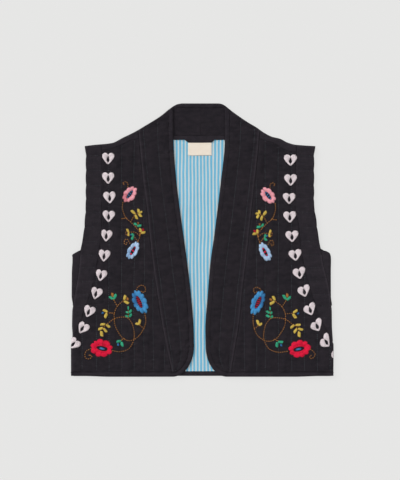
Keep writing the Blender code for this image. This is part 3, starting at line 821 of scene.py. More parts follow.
@dataclass
class NeckBand:
    """One neck band: up the front, folded at the shoulder, and across half of the back neck."""

    side: Side
    columns: int = 36
    rows: int = 262
    groove: float = 1.4
    ridge: float = 1.1
    flat: tuple[float, float] = (0.098, 0.545)
    back_flat: tuple[float, float] = (0.13, 0.06)
    back_grid: tuple[int, int] = (70, 34)
    creases_left: tuple[Crease, ...] = table(
        Crease,
        (-62, -236, -34, -212, 3.5, 0.9), (-60, -250, -38, -244, 3.0, -0.8),
        (-44, -228, -24, -196, 3.0, -0.8), (-66, -206, -40, -196, 3.5, 0.6),
        (-72, -170, -30, -160, 4.0, -0.5), (-74, -118, -40, -106, 4.0, 0.5), (-92, -40, -52, -30, 4.0, -0.5),
        (-98, 38, -60, 52, 4.0, 0.5), (-110, 120, -70, 128, 4.0, -0.5), (-118, 196, -72, 214, 4.5, 0.6),
        (-108, 226, -74, 240, 4.0, -0.6),
    )
    creases_right: tuple[Crease, ...] = table(
        Crease,
        (56, -238, 28, -214, 3.5, 0.9), (54, -252, 32, -246, 3.0, -0.8), (38, -230, 16, -198, 3.0, -0.8),
        (62, -204, 30, -192, 3.5, 0.6), (70, -150, 24, -142, 4.0, -0.5), (76, -92, 30, -84, 4.0, 0.5),
        (84, -20, 38, -12, 4.0, -0.5), (90, 60, 48, 70, 4.0, 0.5), (98, 136, 56, 142, 4.0, -0.5),
        (108, 190, 60, 206, 4.5, 0.6), (96, 222, 60, 236, 4.0, -0.6),
    )

    def front(self, cotton: Material) -> Object:
        """Builds the front of the band.

        Args:
            cotton: The finish.

        Returns:
            The dressed band.
        """
        side, gap = self.side, CUT.seam_gap / 2
        inset = CUT.binding_width + CUT.seam_gap

        def seam(y: Number) -> Number:
            """Returns the band's seam with the body."""
            return CUT.band_seam_x(side, y) - side.value * gap

        plan = Plan(
            outer=seam,
            inner=lambda y: CUT.innermost(side, CUT.opening_x(side, y, inset), seam(y)),
            bottom=flat(CUT.hem_front_y + inset + CUT.seam_gap),
            top=lambda x: CUT.fold_y(side, x),
        )
        x, y, (outer, inner, bottom, top) = plan.grid(self.columns, self.rows)
        width = np.maximum(outer + inner, 1.0)
        share = outer / width
        lines = (0.0, *CUT.band_lines, 1.0)
        distance, _ = nearest_line(share, lines)
        creases = side.pick(self.creases_left, self.creases_right)
        relief = Relief(11.0 + side.value, creases, swell=0.35)
        crown = LEVEL.front_crown - self.groove * (1 - puff(share, lines))
        crown = crown + relief.height(x, y, stitched(distance * width), y)
        beyond = ease(share, CUT.band_lines[1], CUT.band_lines[1] + 0.12)
        crown = crown + 0.35 * beyond * drift(x * 0.3, y, 30, 6.5, 31.0 + side.value)
        piping = ridge(outer, 2.0, 1.8)
        crown = crown + self.ridge * piping
        seams = lowest(outer * 1.6, inner + 1.2, bottom + 0.8)
        edge = dip(seams, 3.0, LEVEL.front_seam + 1.15, LEVEL.front_crown + 1.8)
        height = lowest(crown, edge, LIP.top(top, LEVEL.rim))
        under = LIP.under(top, LEVEL.front_bottom)
        # Painted highlight: the raised piping ridge by the body seam is drawn paler, as light catches it.
        layer = Layer(x, y, height, np.minimum(under, height - THIN), 0.42 * piping)
        shell = Wall.build(f"neck_band_{side.word}_quilt", layer)
        dress(shell, "black_cotton", cotton, f"neck_band_{side.word}")
        area = plan_area(x, y)
        return shell

    def back(self, cotton: Material) -> Object:
        """Builds the half of the back neck band on this side.

        Args:
            cotton: The finish.

        Returns:
            The dressed half.
        """
        side, gap = self.side, CUT.seam_gap / 2
        edge_x = CUT.opening_x(side, NECK_Y, 0.0)
        open_top = CUT.neck_top_y - CUT.binding_width - CUT.seam_gap

        def top(x: Number) -> Number:
            """Returns the upper edge: the binding's seam, then just short of the shoulder fold."""
            under_fold = np.minimum(CUT.fold_y(side, x) - LIP.tuck, open_top)
            return blend(open_top, under_fold, ease(side.value * (x - edge_x), 0.0, 8.0))

        plan = Plan(
            outer=flat(CUT.band_seam_x(side, CUT.neck_top_y) - side.value * 2 * CUT.seam_gap),
            inner=flat(CUT.centre_back_x - side.value * gap),
            bottom=lambda x: CUT.neck_seam_y(x) + gap,
            top=top,
        )
        x, y, (outer, inner, bottom, upper) = plan.grid(*self.back_grid)
        relief = Relief(21.0 + side.value, (), swell=0.15, crinkle=0.22, pucker=0.12)
        crown = 4.0 + relief.height(x, y, stitched(inner, 4.0), y)
        crown = crown - 0.25 * np.exp(-(((upper - 9.0) / 1.6) ** 2))
        height = np.minimum(crown, dip(lowest(outer, inner * 3.0 + 0.6, bottom, upper), 3.0, 3.0, 5.0))
        shell = Wall.build(f"back_neck_{side.word}_quilt", Layer(x, y, height, np.full_like(x, 0.3)))
        dress(shell, "black_cotton", cotton, f"neck_band_{side.word}")
        area = plan_area(x, y)
        return shell


@dataclass
class ArmholeStrip:
    """One armhole strip: its quilted front, its back half, and the roll under the arm."""

    side: Side
    columns: int = 22
    rows: int = 250
    groove: float = 1.3
    scallop: float = 1.3
    low_end: float = -203.0
    back_low: float = -150.0
    # Painted light: the whole strip is drawn this much paler, for the light its slanting cloth catches.
    paler: float = 0.12
    roll_thin: float = 0.3
    roll_low: float = -131.0
    roll_top: float = -21.0
    side_fold_rows: tuple[float, float] = (-132.0, -112.0)
    flat: tuple[float, float] = (0.062, 0.395)
    back_flat: tuple[float, float] = (0.062, 0.345)
    back_grid: tuple[int, int] = (8, 60)
    roll_grid: tuple[int, int] = (10, 48)

    def seam(self, y: Number) -> Number:
        """Returns the strip's seam with the body."""
        return CUT.strip_seam_x(self.side, y) + self.side.value * CUT.seam_gap / 2

    def front_outer(self, y: Number) -> Number:
        """Finds the outer edge of the front, drawn in a little at each quilting line of the armhole.

        Args:
            y: The height.

        Returns:
            The place in x.
        """
        side = self.side
        drawn = self.scallop * (1 - puff(y, CUT.quilt_y)) * ease(y, 2.0, 30.0)
        edge = CUT.across(CUT.strip_outer_rows, side, y) - side.value * drawn
        return CUT.outermost(side, edge, self.seam(y))

    def front_layer(self) -> Layer:
        """Shapes the front half.

        Returns:
            Its wall.
        """
        side = self.side
        plan = Plan(self.front_outer, self.seam, flat(self.low_end), lambda x: CUT.fold_y(side, x))
        x, y, (outer, inner, bottom, top) = plan.grid(self.columns, self.rows)
        distance, _ = nearest_line(y, CUT.quilt_y)
        relief = Relief(41.0 + side.value, (), swell=0.4, crinkle=0.35, pucker=0.3)
        crown = LEVEL.front_crown - self.groove * (1 - puff(y, CUT.quilt_y))
        crown = crown + relief.height(x, y, stitched(distance), x)
        high = LEVEL.rim
        folded = 1 - ease(y, *self.side_fold_rows)
        beside_roll = 1 - ease(y, -34.0, -22.0)
        seamed_edge = dip(outer, 2.5, LEVEL.front_seam + 1.0, high)
        free_edge = blend(roll(outer, 6.0, 5.4, high), seamed_edge, beside_roll)
        outer_edge = blend(free_edge, LIP.top(outer, high), folded)
        seam = dip(np.minimum(inner, bottom), 3.0, LEVEL.front_seam + 1.1, high)
        height = lowest(crown, seam, outer_edge, LIP.top(top, high))
        base = LEVEL.front_bottom
        side_under = blend(np.full_like(x, base), LIP.under(outer, base), folded)
        under = lowest(side_under, LIP.under(top, base), height - THIN)
        # Painted light: the strip's paler tone, and a painted highlight on the ridge of its outer edge beside
        # the roll.
        worn = self.paler + 0.35 * beside_roll * ridge(outer, 1.6, 1.6)
        return Layer(x, y, height, under, worn)

    def back_layer(self) -> Layer:
        """Shapes the back half, short of the folds.

        Returns:
            Its wall.
        """
        side = self.side

        def outer_line(y: Number) -> Number:
            """Returns the back's armhole edge, and below the arm the edge of what the fold covers."""
            inset = self.scallop / 2 + LIP.tuck * (1 - ease(y, -40.0, -16.0))
            return CUT.side_x(side, y) - side.value * inset

        plan = Plan(outer_line, self.seam, flat(self.back_low), lambda x: CUT.fold_y(side, x) - LIP.tuck)
        x, y, inside = plan.grid(*self.back_grid)
        edge = roll(lowest(*inside), 5.0, 2.4, 4.2)
        height = np.minimum(edge, 3.7 + 0.3 * puff(y, CUT.quilt_y))
        # The back half gets the same painted light.
        return Layer(x, y, height, np.zeros_like(x), self.paler)

    def roll_layer(self) -> Layer:
        """Shapes the back half's roll that shows under the arm.

        Returns:
            Its wall.
        """
        side = self.side

        def outer_line(y: Number) -> Number:
            """Returns the fold."""
            return CUT.side_x(side, y) - side.value * 0.1

        def inner_line(y: Number) -> Number:
            """Returns the edge beside the side seam."""
            seam = CUT.across(CUT.strip_outer_rows, side, y) + side.value * CUT.seam_gap
            return CUT.innermost(side, seam, outer_line(y) - side.value * 0.5)

        plan = Plan(outer_line, inner_line, flat(self.roll_low), flat(self.roll_top))
        x, y, (outer, inner, bottom, top) = plan.grid(*self.roll_grid)
        high = LEVEL.front_crown
        crown = high - 0.9 + 0.35 * drift(x, y, 14, 9, 61.0 + side.value)
        seam = dip(lowest(inner, bottom, top), 2.5, LEVEL.front_seam + 0.6, high)
        height = lowest(crown, seam, LIP.top(outer, high))
        under = LIP.under(outer, LEVEL.front_bottom)
        # The roll gets the same painted light.
        return Layer(x, y, height, np.minimum(under, height - self.roll_thin), self.paler)

    def make(self, cotton: Material) -> Object:
        """Builds the strip, with its back half as cloth of its own.

        Args:
            cotton: The finish.

        Returns:
            The dressed front half with the roll.
        """
        word = self.side.word
        front, back = self.front_layer(), self.back_layer()
        shell = Wall.build(f"armhole_strip_{word}_quilt", front, self.roll_layer())
        dress(shell, "black_cotton", cotton, f"armhole_strip_{word}")
        area = plan_area(front.x, front.y)
        under = Wall.build(f"armhole_back_{word}_quilt", back)
        dress(under, "black_cotton", cotton, f"armhole_strip_{word}")
        plan_area(back.x, back.y)
        return shell


@dataclass
class BackBody:
    """The back body, its wraps over the shoulders, and its striped lining."""

    flat: tuple[float, float] = (0.526, 0.47)
    wrap_flat: tuple[float, float] = (0.075, 0.03)
    wrap_slope: float = 1.3
    lining_flat: tuple[float, float] = (0.52, 0.465)
    neck_ends: tuple[tuple[float, float], tuple[float, float]] = ((-131.0, -127.0), (113.5, 117.5))
    lining_inset: float = 3.0
    shell_grid: tuple[int, int] = (72, 72)
    wrap_grid: tuple[int, int] = (60, 14)
    lining_grid: tuple[int, int] = (150, 150)
    lining_creases: tuple[Crease, ...] = table(
        Crease,
        (-30, 150, 34, 158, 4, 0.35), (-46, 60, 18, 84, 6, 0.3), (-20, -60, 6, 20, 5, -0.3),
        (-8, -200, -2, -90, 4, 0.3), (-16, -250, 4, -226, 5, -0.3),
    )

    @staticmethod
    def plan(edge: Callable[[Side], Line], top: Line) -> Plan:
        """Returns the outline of one layer of the back, from the hem's binding up."""
        bottom = CUT.hem_back_y + CUT.binding_width + CUT.seam_gap
        return Plan(*(edge(side) for side in Side), flat(bottom), top)

    def top_line(self, neck_gap: float, shoulder: Callable[[Side, Number], Number]) -> Line:
        """Finds an upper edge: the neck seam in the middle, and a line of each shoulder beside it.

        Args:
            neck_gap: How far below the neck seam the edge stays.
            shoulder: The edge's height for a side and a place in x.

        Returns:
            The edge.
        """

        def line(x: Number) -> Number:
            """Returns the height of the edge at x."""
            left, right = (shoulder(side, x) for side in Side)
            at_left, at_right = (ease(x, *ends) for ends in self.neck_ends)
            return blend(blend(CUT.neck_seam_y(x) - neck_gap, left, 1 - at_left), right, at_right)

        return line

    def shell(self, cotton: Material) -> Object:
        """Builds the back body under the fronts.

        Args:
            cotton: The finish.

        Returns:
            The dressed back.
        """

        def edge(side: Side) -> Line:
            """Returns one side edge: the strip's seam, then short of the side fold."""
            folded = -206.0, -176.0
            return lambda y: CUT.body_outer(side, y, 0.15) - side.value * LIP.tuck * (1 - ease(y, *folded))

        top = self.top_line(0.15, lambda side, x: CUT.fold_y(side, x) - LIP.tuck)
        x, y, inside = self.plan(edge, top).grid(*self.shell_grid)
        crown = 2.9 + 0.2 * drift(x, y, 40, 60, 71.0)
        height = np.minimum(crown, roll(lowest(*inside), 5.0, 1.8, 3.4))
        back = Wall.build("back_body_quilt", Layer(x, y, height, np.zeros_like(x)))
        dress(back, "black_cotton", cotton, "back_body")
        return (back, plan_area(x, y))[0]

    def wrap(self, side: Side, cotton: Material) -> Object:
        """Builds the stretch of the back that folds over one shoulder.

        Args:
            side: The shoulder.
            cotton: The finish.

        Returns:
            The dressed wrap.
        """
        plan = Plan(
            outer=lambda y: CUT.body_outer(side, y, CUT.seam_gap),
            inner=lambda y: CUT.band_seam_x(side, y) + side.value * CUT.seam_gap,
            bottom=lambda x: CUT.shoulder_y(side, x) + CUT.seam_gap / 2,
            top=lambda x: CUT.fold_y(side, x),
        )
        x, y, (outer, inner, bottom, top) = plan.grid(*self.wrap_grid)
        crown = LEVEL.front_crown - 0.8 * (1 - puff(x, CUT.quilt_x(side)))
        crown = crown + 0.35 * drift(x, y, 16, 10, 81.0 + side.value)
        high = LEVEL.front_crown + 1.0
        seam = dip(lowest(outer, inner, bottom), 3.0, LEVEL.front_seam + 1.1, high)
        height = lowest(crown, seam, LIP.top(top, high))
        under = np.minimum(LIP.under(top, LEVEL.front_bottom), height - THIN)
        # The wrap is drawn a little paler through the same painted-light attribute.
        wrap = Wall.build(f"shoulder_wrap_{side.word}_quilt", Layer(x, y, height, under, 0.14))
        dress(wrap, "black_cotton", cotton, "back_body")
        return (wrap, self.wrap_slope * plan_area(x, y))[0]

    def lining(self, stripes: Material) -> Object:
        """Builds the striped lining of the back, with the soft waves that show between the fronts.

        Args:
            stripes: The finish.

        Returns:
            The dressed lining.
        """
        inset = self.lining_inset

        def edge(side: Side) -> Line:
            """Returns one side edge of the lining."""
            return lambda y: CUT.body_outer(side, y, inset) - side.value * inset

        top = self.top_line(2 * CUT.seam_gap, lambda side, x: CUT.shoulder_y(side, x) - inset)
        x, y, _ = self.plan(edge, top).grid(*self.lining_grid)
        height = 4.1 + 0.16 * drift(x, y, 26, 60, 91.0) + 0.1 * drift(x, y, 9, 16, 93.0)
        for crease in self.lining_creases:
            height = height + crease.raised(x, y)
        layer = Layer(x, y, height, np.full_like(x, LEVEL.lining_bottom - 0.1))
        lining = Wall.build("back_lining_cloth", layer)
        dress(lining, "striped_lining", stripes, "back_lining")
        area = plan_area(x, y)
        return lining


@dataclass
class EdgeBinding:
    """A folded tape bound round an edge, between two paths of matching points.

    Shown tells how many times its width the tape covers, of the two that it is folded to.
    """

    name: str
    node: str
    base: float
    top: float
    seed: float
    tuck: float = 0.0
    thin: float = 0.3
    shown: float = 1.4
    profile: tuple[tuple[float, float], ...] = (
        (0.0, 0.30), (0.015, 0.46), (0.06, 0.64), (0.14, 0.82), (0.27, 0.95), (0.42, 1.0), (0.58, 0.97),
        (0.74, 0.86), (0.87, 0.84), (0.95, 0.77), (1.0, 0.70),
    )

    def make(self, outer: Array, inner: Array, cloth: Material, folded_end: bool = False) -> Object:
        """Returns the dressed binding.

        Args:
            outer: Points of the bound edge, in mm.
            inner: Matching points of the binding's seam.
            cloth: The finish.
            folded_end: Whether the first end folds over to the back.

        Returns:
            The binding.
        """
        share = np.array([step[0] for step in self.profile])[:, None]
        rise = np.array([step[1] for step in self.profile])[:, None] - self.tuck * share**10
        x = outer[None, :, 0] + (inner[:, 0] - outer[:, 0])[None] * share
        y = outer[None, :, 1] + (inner[:, 1] - outer[:, 1])[None] * share
        steps = np.hypot(*np.diff(outer, axis=0).T)
        along = np.concatenate([[0.0], np.cumsum(steps)])[None] + 0 * x
        pucker = 0.22 * drift(share * 4 + 0 * x, along, 9, 5.5, self.seed)
        ripple = pucker + 0.25 * drift(x, y, 30, 30, self.seed + 3)
        height = self.base + (self.top - self.base) * rise * (1 + 0.12 * ripple) + 0.3 * ripple * rise
        under = np.full_like(x, self.base)
        if folded_end:
            distance = along.copy()
            height = np.minimum(height, LIP.top(distance, self.top + 1))
            under = LIP.under(distance, self.base)
        binding = Wall.build(self.name, Layer(x, y, height, np.minimum(under, height - self.thin)))
        dress(binding, "black_binding", cloth, self.node)
        wide = float(np.hypot(*(outer - inner).T).mean())
        return binding


@dataclass
class NeckTrim:
    """The small pieces at the back neck: the seam tape, the hanger loop and the bare label.

    The least side, in metres, and the least share of the flat area bound the size and area that make works out
    for each piece. The least side, in metres, and the least share of the flat area are what a sheet can be
    stated with.
    """

    tape: Box = (-58.6, 46.0, 201.0, 208.9)
    loop: Box = (-37.0, 27.0, 195.3, 203.1)
    label: Box = (-28.8, 19.0, 169.6, 195.8)
    loop_slant: float = 8.6
    least_side: float = 0.0101
    least_share: float = 0.31

    def patch(self, name: str, box: Box, slant: float, base: float, top: float, wave: float) -> Object:
        """Returns a small strip of cloth, a little uneven.

        Args:
            name: The piece's name.
            box: Its left, right, bottom and top, in mm.
            slant: How much each end runs in towards the lower edge.
            base: Height of its underside.
            top: Height of its face.
            wave: How far its edges and its face waver.

        Returns:
            The strip.
        """
        left, right, low, high = box
        columns, rows = 60, 26
        u = np.linspace(0, 1, columns)[:, None]
        v = np.linspace(0, 1, rows)[None, :]
        drawn_in = slant * (1 - v)
        x = left + drawn_in + (right - left - 2 * drawn_in) * u
        y = low + (high - low) * v + 0 * u
        x = x + wave * 0.4 * drift(0 * x, y, 20, 14, left)
        y = y + wave * 0.5 * drift(x, 0 * y, 24, 20, right)
        edge = np.minimum(np.minimum(u, 1 - u) * (right - left), np.minimum(v, 1 - v) * (high - low))
        edge_height = base + 0.3 * (top - base)
        height = roll(edge, 1.0, edge_height, top) + wave * 0.3 * drift(x, y, 15, 12, low)
        return Wall.build(name, Layer(x + 0 * v, y, height, np.full_like(height, base - 0.2)))

    def make(self, cloth: Material, cream: Material) -> list[Object]:
        """Builds the trim.

        Args:
            cloth: The finish of the tape and the loop.
            cream: The label's finish.

        Returns:
            The dressed pieces.
        """
        pieces = []
        for node, box, slant, top, slot, finish, wave in (
            ("neck_seam_tape", self.tape, 0.0, 5.5, "black_binding", cloth, 0.5),
            ("hanger_loop", self.loop, self.loop_slant, 6.2, "black_binding", cloth, 0.5),
            ("label", self.label, 0.0, 5.4, "cream_tape", cream, 0.5),
        ):
            piece = self.patch(f"{node}_cloth", box, slant, 4.6, top, wave)
            dress(piece, slot, finish, node)
            width, length = (box[1] - box[0]) * MM, max((box[3] - box[2]) * MM, self.least_side)
            area = (box[1] - box[0] - slant) * (box[3] - box[2]) * MM**2
            area = max(area, self.least_share * width * length)
            pieces.append(piece)
        return pieces


class Signal:
    """A value or colour inside a shader tree. Sums and products of signals become Math nodes."""

    def __init__(self, tree: NodeTree, socket: NodeSocket) -> None:
        """Keeps the tree and the output socket that the value comes from."""
        self.tree, self.socket = tree, socket

    def feed(self, socket: NodeSocket) -> None:
        """Links the signal to an input."""
        self.tree.links.new(self.socket, socket)

    def maths(self, operation: str, other: Signal | float = 0.0) -> Signal:
        """Returns the signal after a Math node.

        Args:
            operation: The node's operation.
            other: Its second value, where it takes one.

        Returns:
            The result.
        """
        node = self.tree.nodes.new("ShaderNodeMath")
        node.operation = operation
        self.feed(node.inputs[0])
        set_input(node.inputs[1], other)
        return Signal(self.tree, node.outputs[0])

    def __add__(self, other: Signal | float) -> Signal:
        """Returns the sum."""
        return self.maths("ADD", other)

    def __sub__(self, other: Signal | float) -> Signal:
        """Returns the difference."""
        return self.maths("SUBTRACT", other)

    def __mul__(self, other: Signal | float) -> Signal:
        """Returns the product."""
        return self.maths("MULTIPLY", other)

    def axis(self, name: str) -> Signal:
        """Returns one coordinate, X, Y or Z."""
        split = self.tree.nodes.new("ShaderNodeSeparateXYZ")
        self.feed(split.inputs[0])
        return Signal(self.tree, split.outputs[name])

    def noise(self, stretch: tuple[float, float, float], detail: float = 2.0) -> Signal:
        """Returns noise from 0 to 1 over these coordinates.

        Args:
            stretch: Cycles in a metre along x, y and z.
            detail: Octaves of the noise.

        Returns:
            The noise.
        """
        scaled = self.tree.nodes.new("ShaderNodeVectorMath")
        scaled.operation = "MULTIPLY"
        self.feed(scaled.inputs[0])
        scaled.inputs[1].default_value = stretch
        texture = self.tree.nodes.new("ShaderNodeTexNoise")
        texture.inputs["Scale"].default_value = 1.0
        texture.inputs["Detail"].default_value = detail
        self.tree.links.new(scaled.outputs[0], texture.inputs["Vector"])
        return Signal(self.tree, texture.outputs["Fac"])

    def mix(self, first: Colour | Signal, second: Colour | Signal) -> Signal:
        """Mixes two colours.

        Args:
            first: The colour where this signal is 0.
            second: The colour where it is 1.

        Returns:
            The mix.
        """
        node = self.tree.nodes.new("ShaderNodeMix")
        node.data_type = "RGBA"
        self.feed(node.inputs[0])
        set_input(node.inputs[6], first)
        set_input(node.inputs[7], second)
        return Signal(self.tree, node.outputs[2])


def set_input(socket: NodeSocket, value: Colour | Signal | float) -> None:
    """Links a signal to an input, or sets the input to a number or a colour.

    Args:
        socket: The input.
        value: What it gets.
    """
    if isinstance(value, Signal):
        value.feed(socket)
    else:
        socket.default_value = (*value, 1.0) if isinstance(value, tuple) else value


def coordinates(tree: NodeTree, kind: str = "Object") -> Signal:
    """Returns a material's coordinates of one kind."""
    return Signal(tree, tree.nodes.new("ShaderNodeTexCoord").outputs[kind])


def attribute(tree: NodeTree, name: str) -> Signal:
    """Returns the value of a piece's own attribute."""
    node = tree.nodes.new("ShaderNodeAttribute")
    node.attribute_name = name
    return Signal(tree, node.outputs["Fac"])


@dataclass
class Group:
    """A shader node group with named inputs, which puts out a Height for bump and a Tone."""

    name: str
    vectors: tuple[str, ...] = ("Vector",)
    numbers: tuple[str, ...] = ()

    def __post_init__(self) -> None:
        """Makes the group's tree with its sockets."""
        self.tree = bpy.data.node_groups.new(self.name, "ShaderNodeTree")
        for titles, kind in ((self.vectors, "NodeSocketVector"), (self.numbers, "NodeSocketFloat")):
            for title in titles:
                self.tree.interface.new_socket(title, in_out="INPUT", socket_type=kind)
        for title in ("Height", "Tone"):
            self.tree.interface.new_socket(title, in_out="OUTPUT", socket_type="NodeSocketFloat")
        self.start = self.tree.nodes.new("NodeGroupInput")
        self.end = self.tree.nodes.new("NodeGroupOutput")

    def taken(self, title: str) -> Signal:
        """Returns an input as a signal inside the group."""
        return Signal(self.tree, self.start.outputs[title])

    def give(self, height: Signal, tone: Signal) -> Group:
        """Links what the group puts out, and returns the group."""
        height.feed(self.end.inputs["Height"])
        tone.feed(self.end.inputs["Tone"])
        return self

    def place(self, tree: NodeTree, **inputs: Signal | float) -> tuple[Signal, Signal]:
        """Places the group in a material.

        Args:
            tree: The material's tree.
            inputs: A signal or a number for each input.

        Returns:
            The group's Height and Tone there.
        """
        node = tree.nodes.new("ShaderNodeGroup")
        node.node_tree = self.tree
        for title, value in inputs.items():
            set_input(node.inputs[title], value)
        return Signal(tree, node.outputs["Height"]), Signal(tree, node.outputs["Tone"])


def weave_group() -> Group:
    """Makes the group for a slubby plain weave.

    Returns:
        The group: Height for bump, Tone for the thickness of the threads.
    """
    group = Group("slubby_weave", numbers=("Threads",))
    place = group.taken("Vector")
    waver = (place.noise((160.0, 160.0, 160.0)) - 0.5) * 6.0
    across, along = (
        (place.axis(axis) * group.taken("Threads") * math.pi + waver).maths("SINE") for axis in ("X", "Y")
    )
    slubs = place.noise((1400.0, 60.0, 60.0)) + place.noise((60.0, 1400.0, 60.0))
    fuzz = place.noise((2600.0, 2600.0, 2600.0), 1.0)
    return group.give(across * along * 0.35 + slubs + fuzz * 0.4, slubs - 0.5)


def crinkle_group() -> Group:
    """Makes the group for washed quilted cloth.

    Returns:
        The group: Height of its fine crinkles, Tone of its mottling.
    """
    group = Group("washed_crinkle")
    place = group.taken("Vector")
    crosswise, upright = place.noise((90.0, 300.0, 90.0), 3.0), place.noise((320.0, 70.0, 90.0), 3.0)
    patches = place.noise((70.0, 130.0, 70.0), 4.0)
    return group.give(crosswise + upright * 0.7, (patches - 0.5) * 2.4)


def ply_group() -> Group:
    """Makes the group for twisted thread, on the strands' own map: along in mm, and round in turns.

    Returns:
        The group: Height of its plies, Tone of its patches.
    """
    group = Group("thread_ply", vectors=("Map", "Vector"))
    strand, place = group.taken("Map"), group.taken("Vector")
    twist = (strand.axis("X") * 1.1 + strand.axis("Y") * 2.0) * (2 * math.pi)
    lint = place.noise((1800.0, 1800.0, 1800.0))
    return group.give(twist.maths("SINE").maths("ABSOLUTE") + lint, place.noise((260.0, 260.0, 260.0)))


@dataclass(frozen=True)
class Finish:
    """A cloth or thread finish: a Principled material with its own colours and fibre relief."""

    name: str
    dark: Colour
    light: Colour
    roughness: float = 0.9
    sheen: float = 0.02
    bump: float = 0.5
    bump_depth: float = 0.0004
    specular: float = 0.08

    def shader(self) -> tuple[Material, NodeTree, Node]:
        """Starts a material with the even values set on its shader.

        Returns:
            The material, its tree and its Principled shader.
        """
        material = bpy.data.materials.new(self.name)
        material.use_nodes = True
        tree = material.node_tree
        shader = tree.nodes["Principled BSDF"]
        shader.inputs["Roughness"].default_value = self.roughness
        shader.inputs["Sheen Weight"].default_value = self.sheen
        shader.inputs["Sheen Roughness"].default_value = 0.6
        shader.inputs["Specular IOR Level"].default_value = self.specular
        return material, tree, shader

    @staticmethod
    def raised(height: Signal, strength: float, depth: float, under: Signal | None = None) -> Signal:
        """Returns the normal of a bump.

        Args:
            height: The bump's height, from 0 to about 1.
            strength: How much of it is used.
            depth: Its depth in metres.
            under: The normal of a broader bump that it lies on.

        Returns:
            The normal.
        """
        bump = height.tree.nodes.new("ShaderNodeBump")
        bump.inputs["Strength"].default_value = strength
        bump.inputs["Distance"].default_value = depth
        height.feed(bump.inputs["Height"])
        if under is not None:
            under.feed(bump.inputs["Normal"])
        return Signal(height.tree, bump.outputs["Normal"])

    def finish_off(self, shader: Node, colour: Signal, height: Signal, under: Signal | None = None) -> None:
        """Links colour and bump to the shader, over a broader bump where there is one."""
        self.raised(height, self.bump, self.bump_depth, under).feed(shader.inputs["Normal"])
        colour.feed(shader.inputs["Base Color"])


@dataclass(frozen=True)
class Cotton(Finish):
    """Plain-woven cotton with slubs and slow changes of tone, and a paler colour painted in as light where a
    piece asks for it.
    """

    # Painted highlight colour: stands in for light caught by ridges and slopes.
    rubbed: Colour = (0.062, 0.052, 0.064)
    threads: float = 1500.0
    crinkle_strength: float = 0.7
    crinkle_depth: float = 0.0016

    def material(self, weave: Group, crinkle: Group) -> Material:
        """Returns the material.

        Args:
            weave: The group for the weave.
            crinkle: The group for the washed crinkles.

        Returns:
            The finish, with a paler colour painted in as light on raised seams and slanting cloth, where a
            piece's attribute says so.
        """
        material, tree, shader = self.shader()
        place = coordinates(tree)
        height, slubs = weave.place(tree, Vector=place, Threads=self.threads)
        creased, mottle = crinkle.place(tree, Vector=place)
        colour = (slubs * 0.5 + mottle * 0.6 + 0.28).mix(self.dark, self.light)
        # Painted light: the pale colour is mixed in as far as the piece's attribute asks, a little uneven with
        # the slubs.
        painted_light_mask = (slubs * 0.6 + 0.7) * attribute(tree, "worn")
        folds = self.raised(creased, self.crinkle_strength, self.crinkle_depth)
        self.finish_off(shader, painted_light_mask.mix(colour, self.rubbed), height, folds)
        return material


@dataclass(frozen=True)
class StripedCotton(Finish):
    """The lining: cotton in fine stripes that run from hem to neck and waver a little."""

    stripe: Colour = (0.20, 0.57, 0.82)
    pitch: float = 0.00704
    phase: float = 0.0026
    blue_share: float = 0.58
    edge_sharpness: float = 3.2
    threads: float = 1900.0

    def material(self, weave: Group) -> Material:
        """Returns the material.

        Args:
            weave: The group for the weave.

        Returns:
            The finish, with a stripe and a gap in each pitch.
        """
        material, tree, shader = self.shader()
        place = coordinates(tree)
        waver = (place.noise((14.0, 9.0, 1.0)) - 0.5) * 0.006
        wave = ((place.axis("X") + waver + self.phase) * (2 * math.pi / self.pitch)).maths("COSINE")
        edge = (wave - math.cos(math.pi * self.blue_share)) * self.edge_sharpness + 0.5
        clamp = tree.nodes.new("ShaderNodeClamp")
        edge.feed(clamp.inputs["Value"])
        height, slubs = weave.place(tree, Vector=place, Threads=self.threads)
        shade = slubs * 0.5 + place.noise((40.0, 25.0, 40.0), 3.0)
        ground = shade.mix(self.dark, self.light)
        blue = shade.mix(tuple(0.8 * value for value in self.stripe), self.stripe)
        self.finish_off(shader, Signal(tree, clamp.outputs[0]).mix(ground, blue), height)
        return material


@dataclass(frozen=True)
class Thread(Finish):
    """Embroidery or quilting thread, with its plies and its change of tone from strand to strand."""

    roughness: float = 0.62
    sheen: float = 0.05
    bump_depth: float = 0.0002
    specular: float = 0.2

    def material(self, ply: Group) -> Material:
        """Returns the material.

        Args:
            ply: The group for the plies.

        Returns:
            The finish, darker or lighter as a strand's tone attribute says.
        """
        material, tree, shader = self.shader()
        height, patch = ply.place(tree, Map=coordinates(tree, "UV"), Vector=coordinates(tree))
        colour = (attribute(tree, "tone") + patch * 0.3).mix(self.dark, self.light)
        self.finish_off(shader, colour, height)
        return material


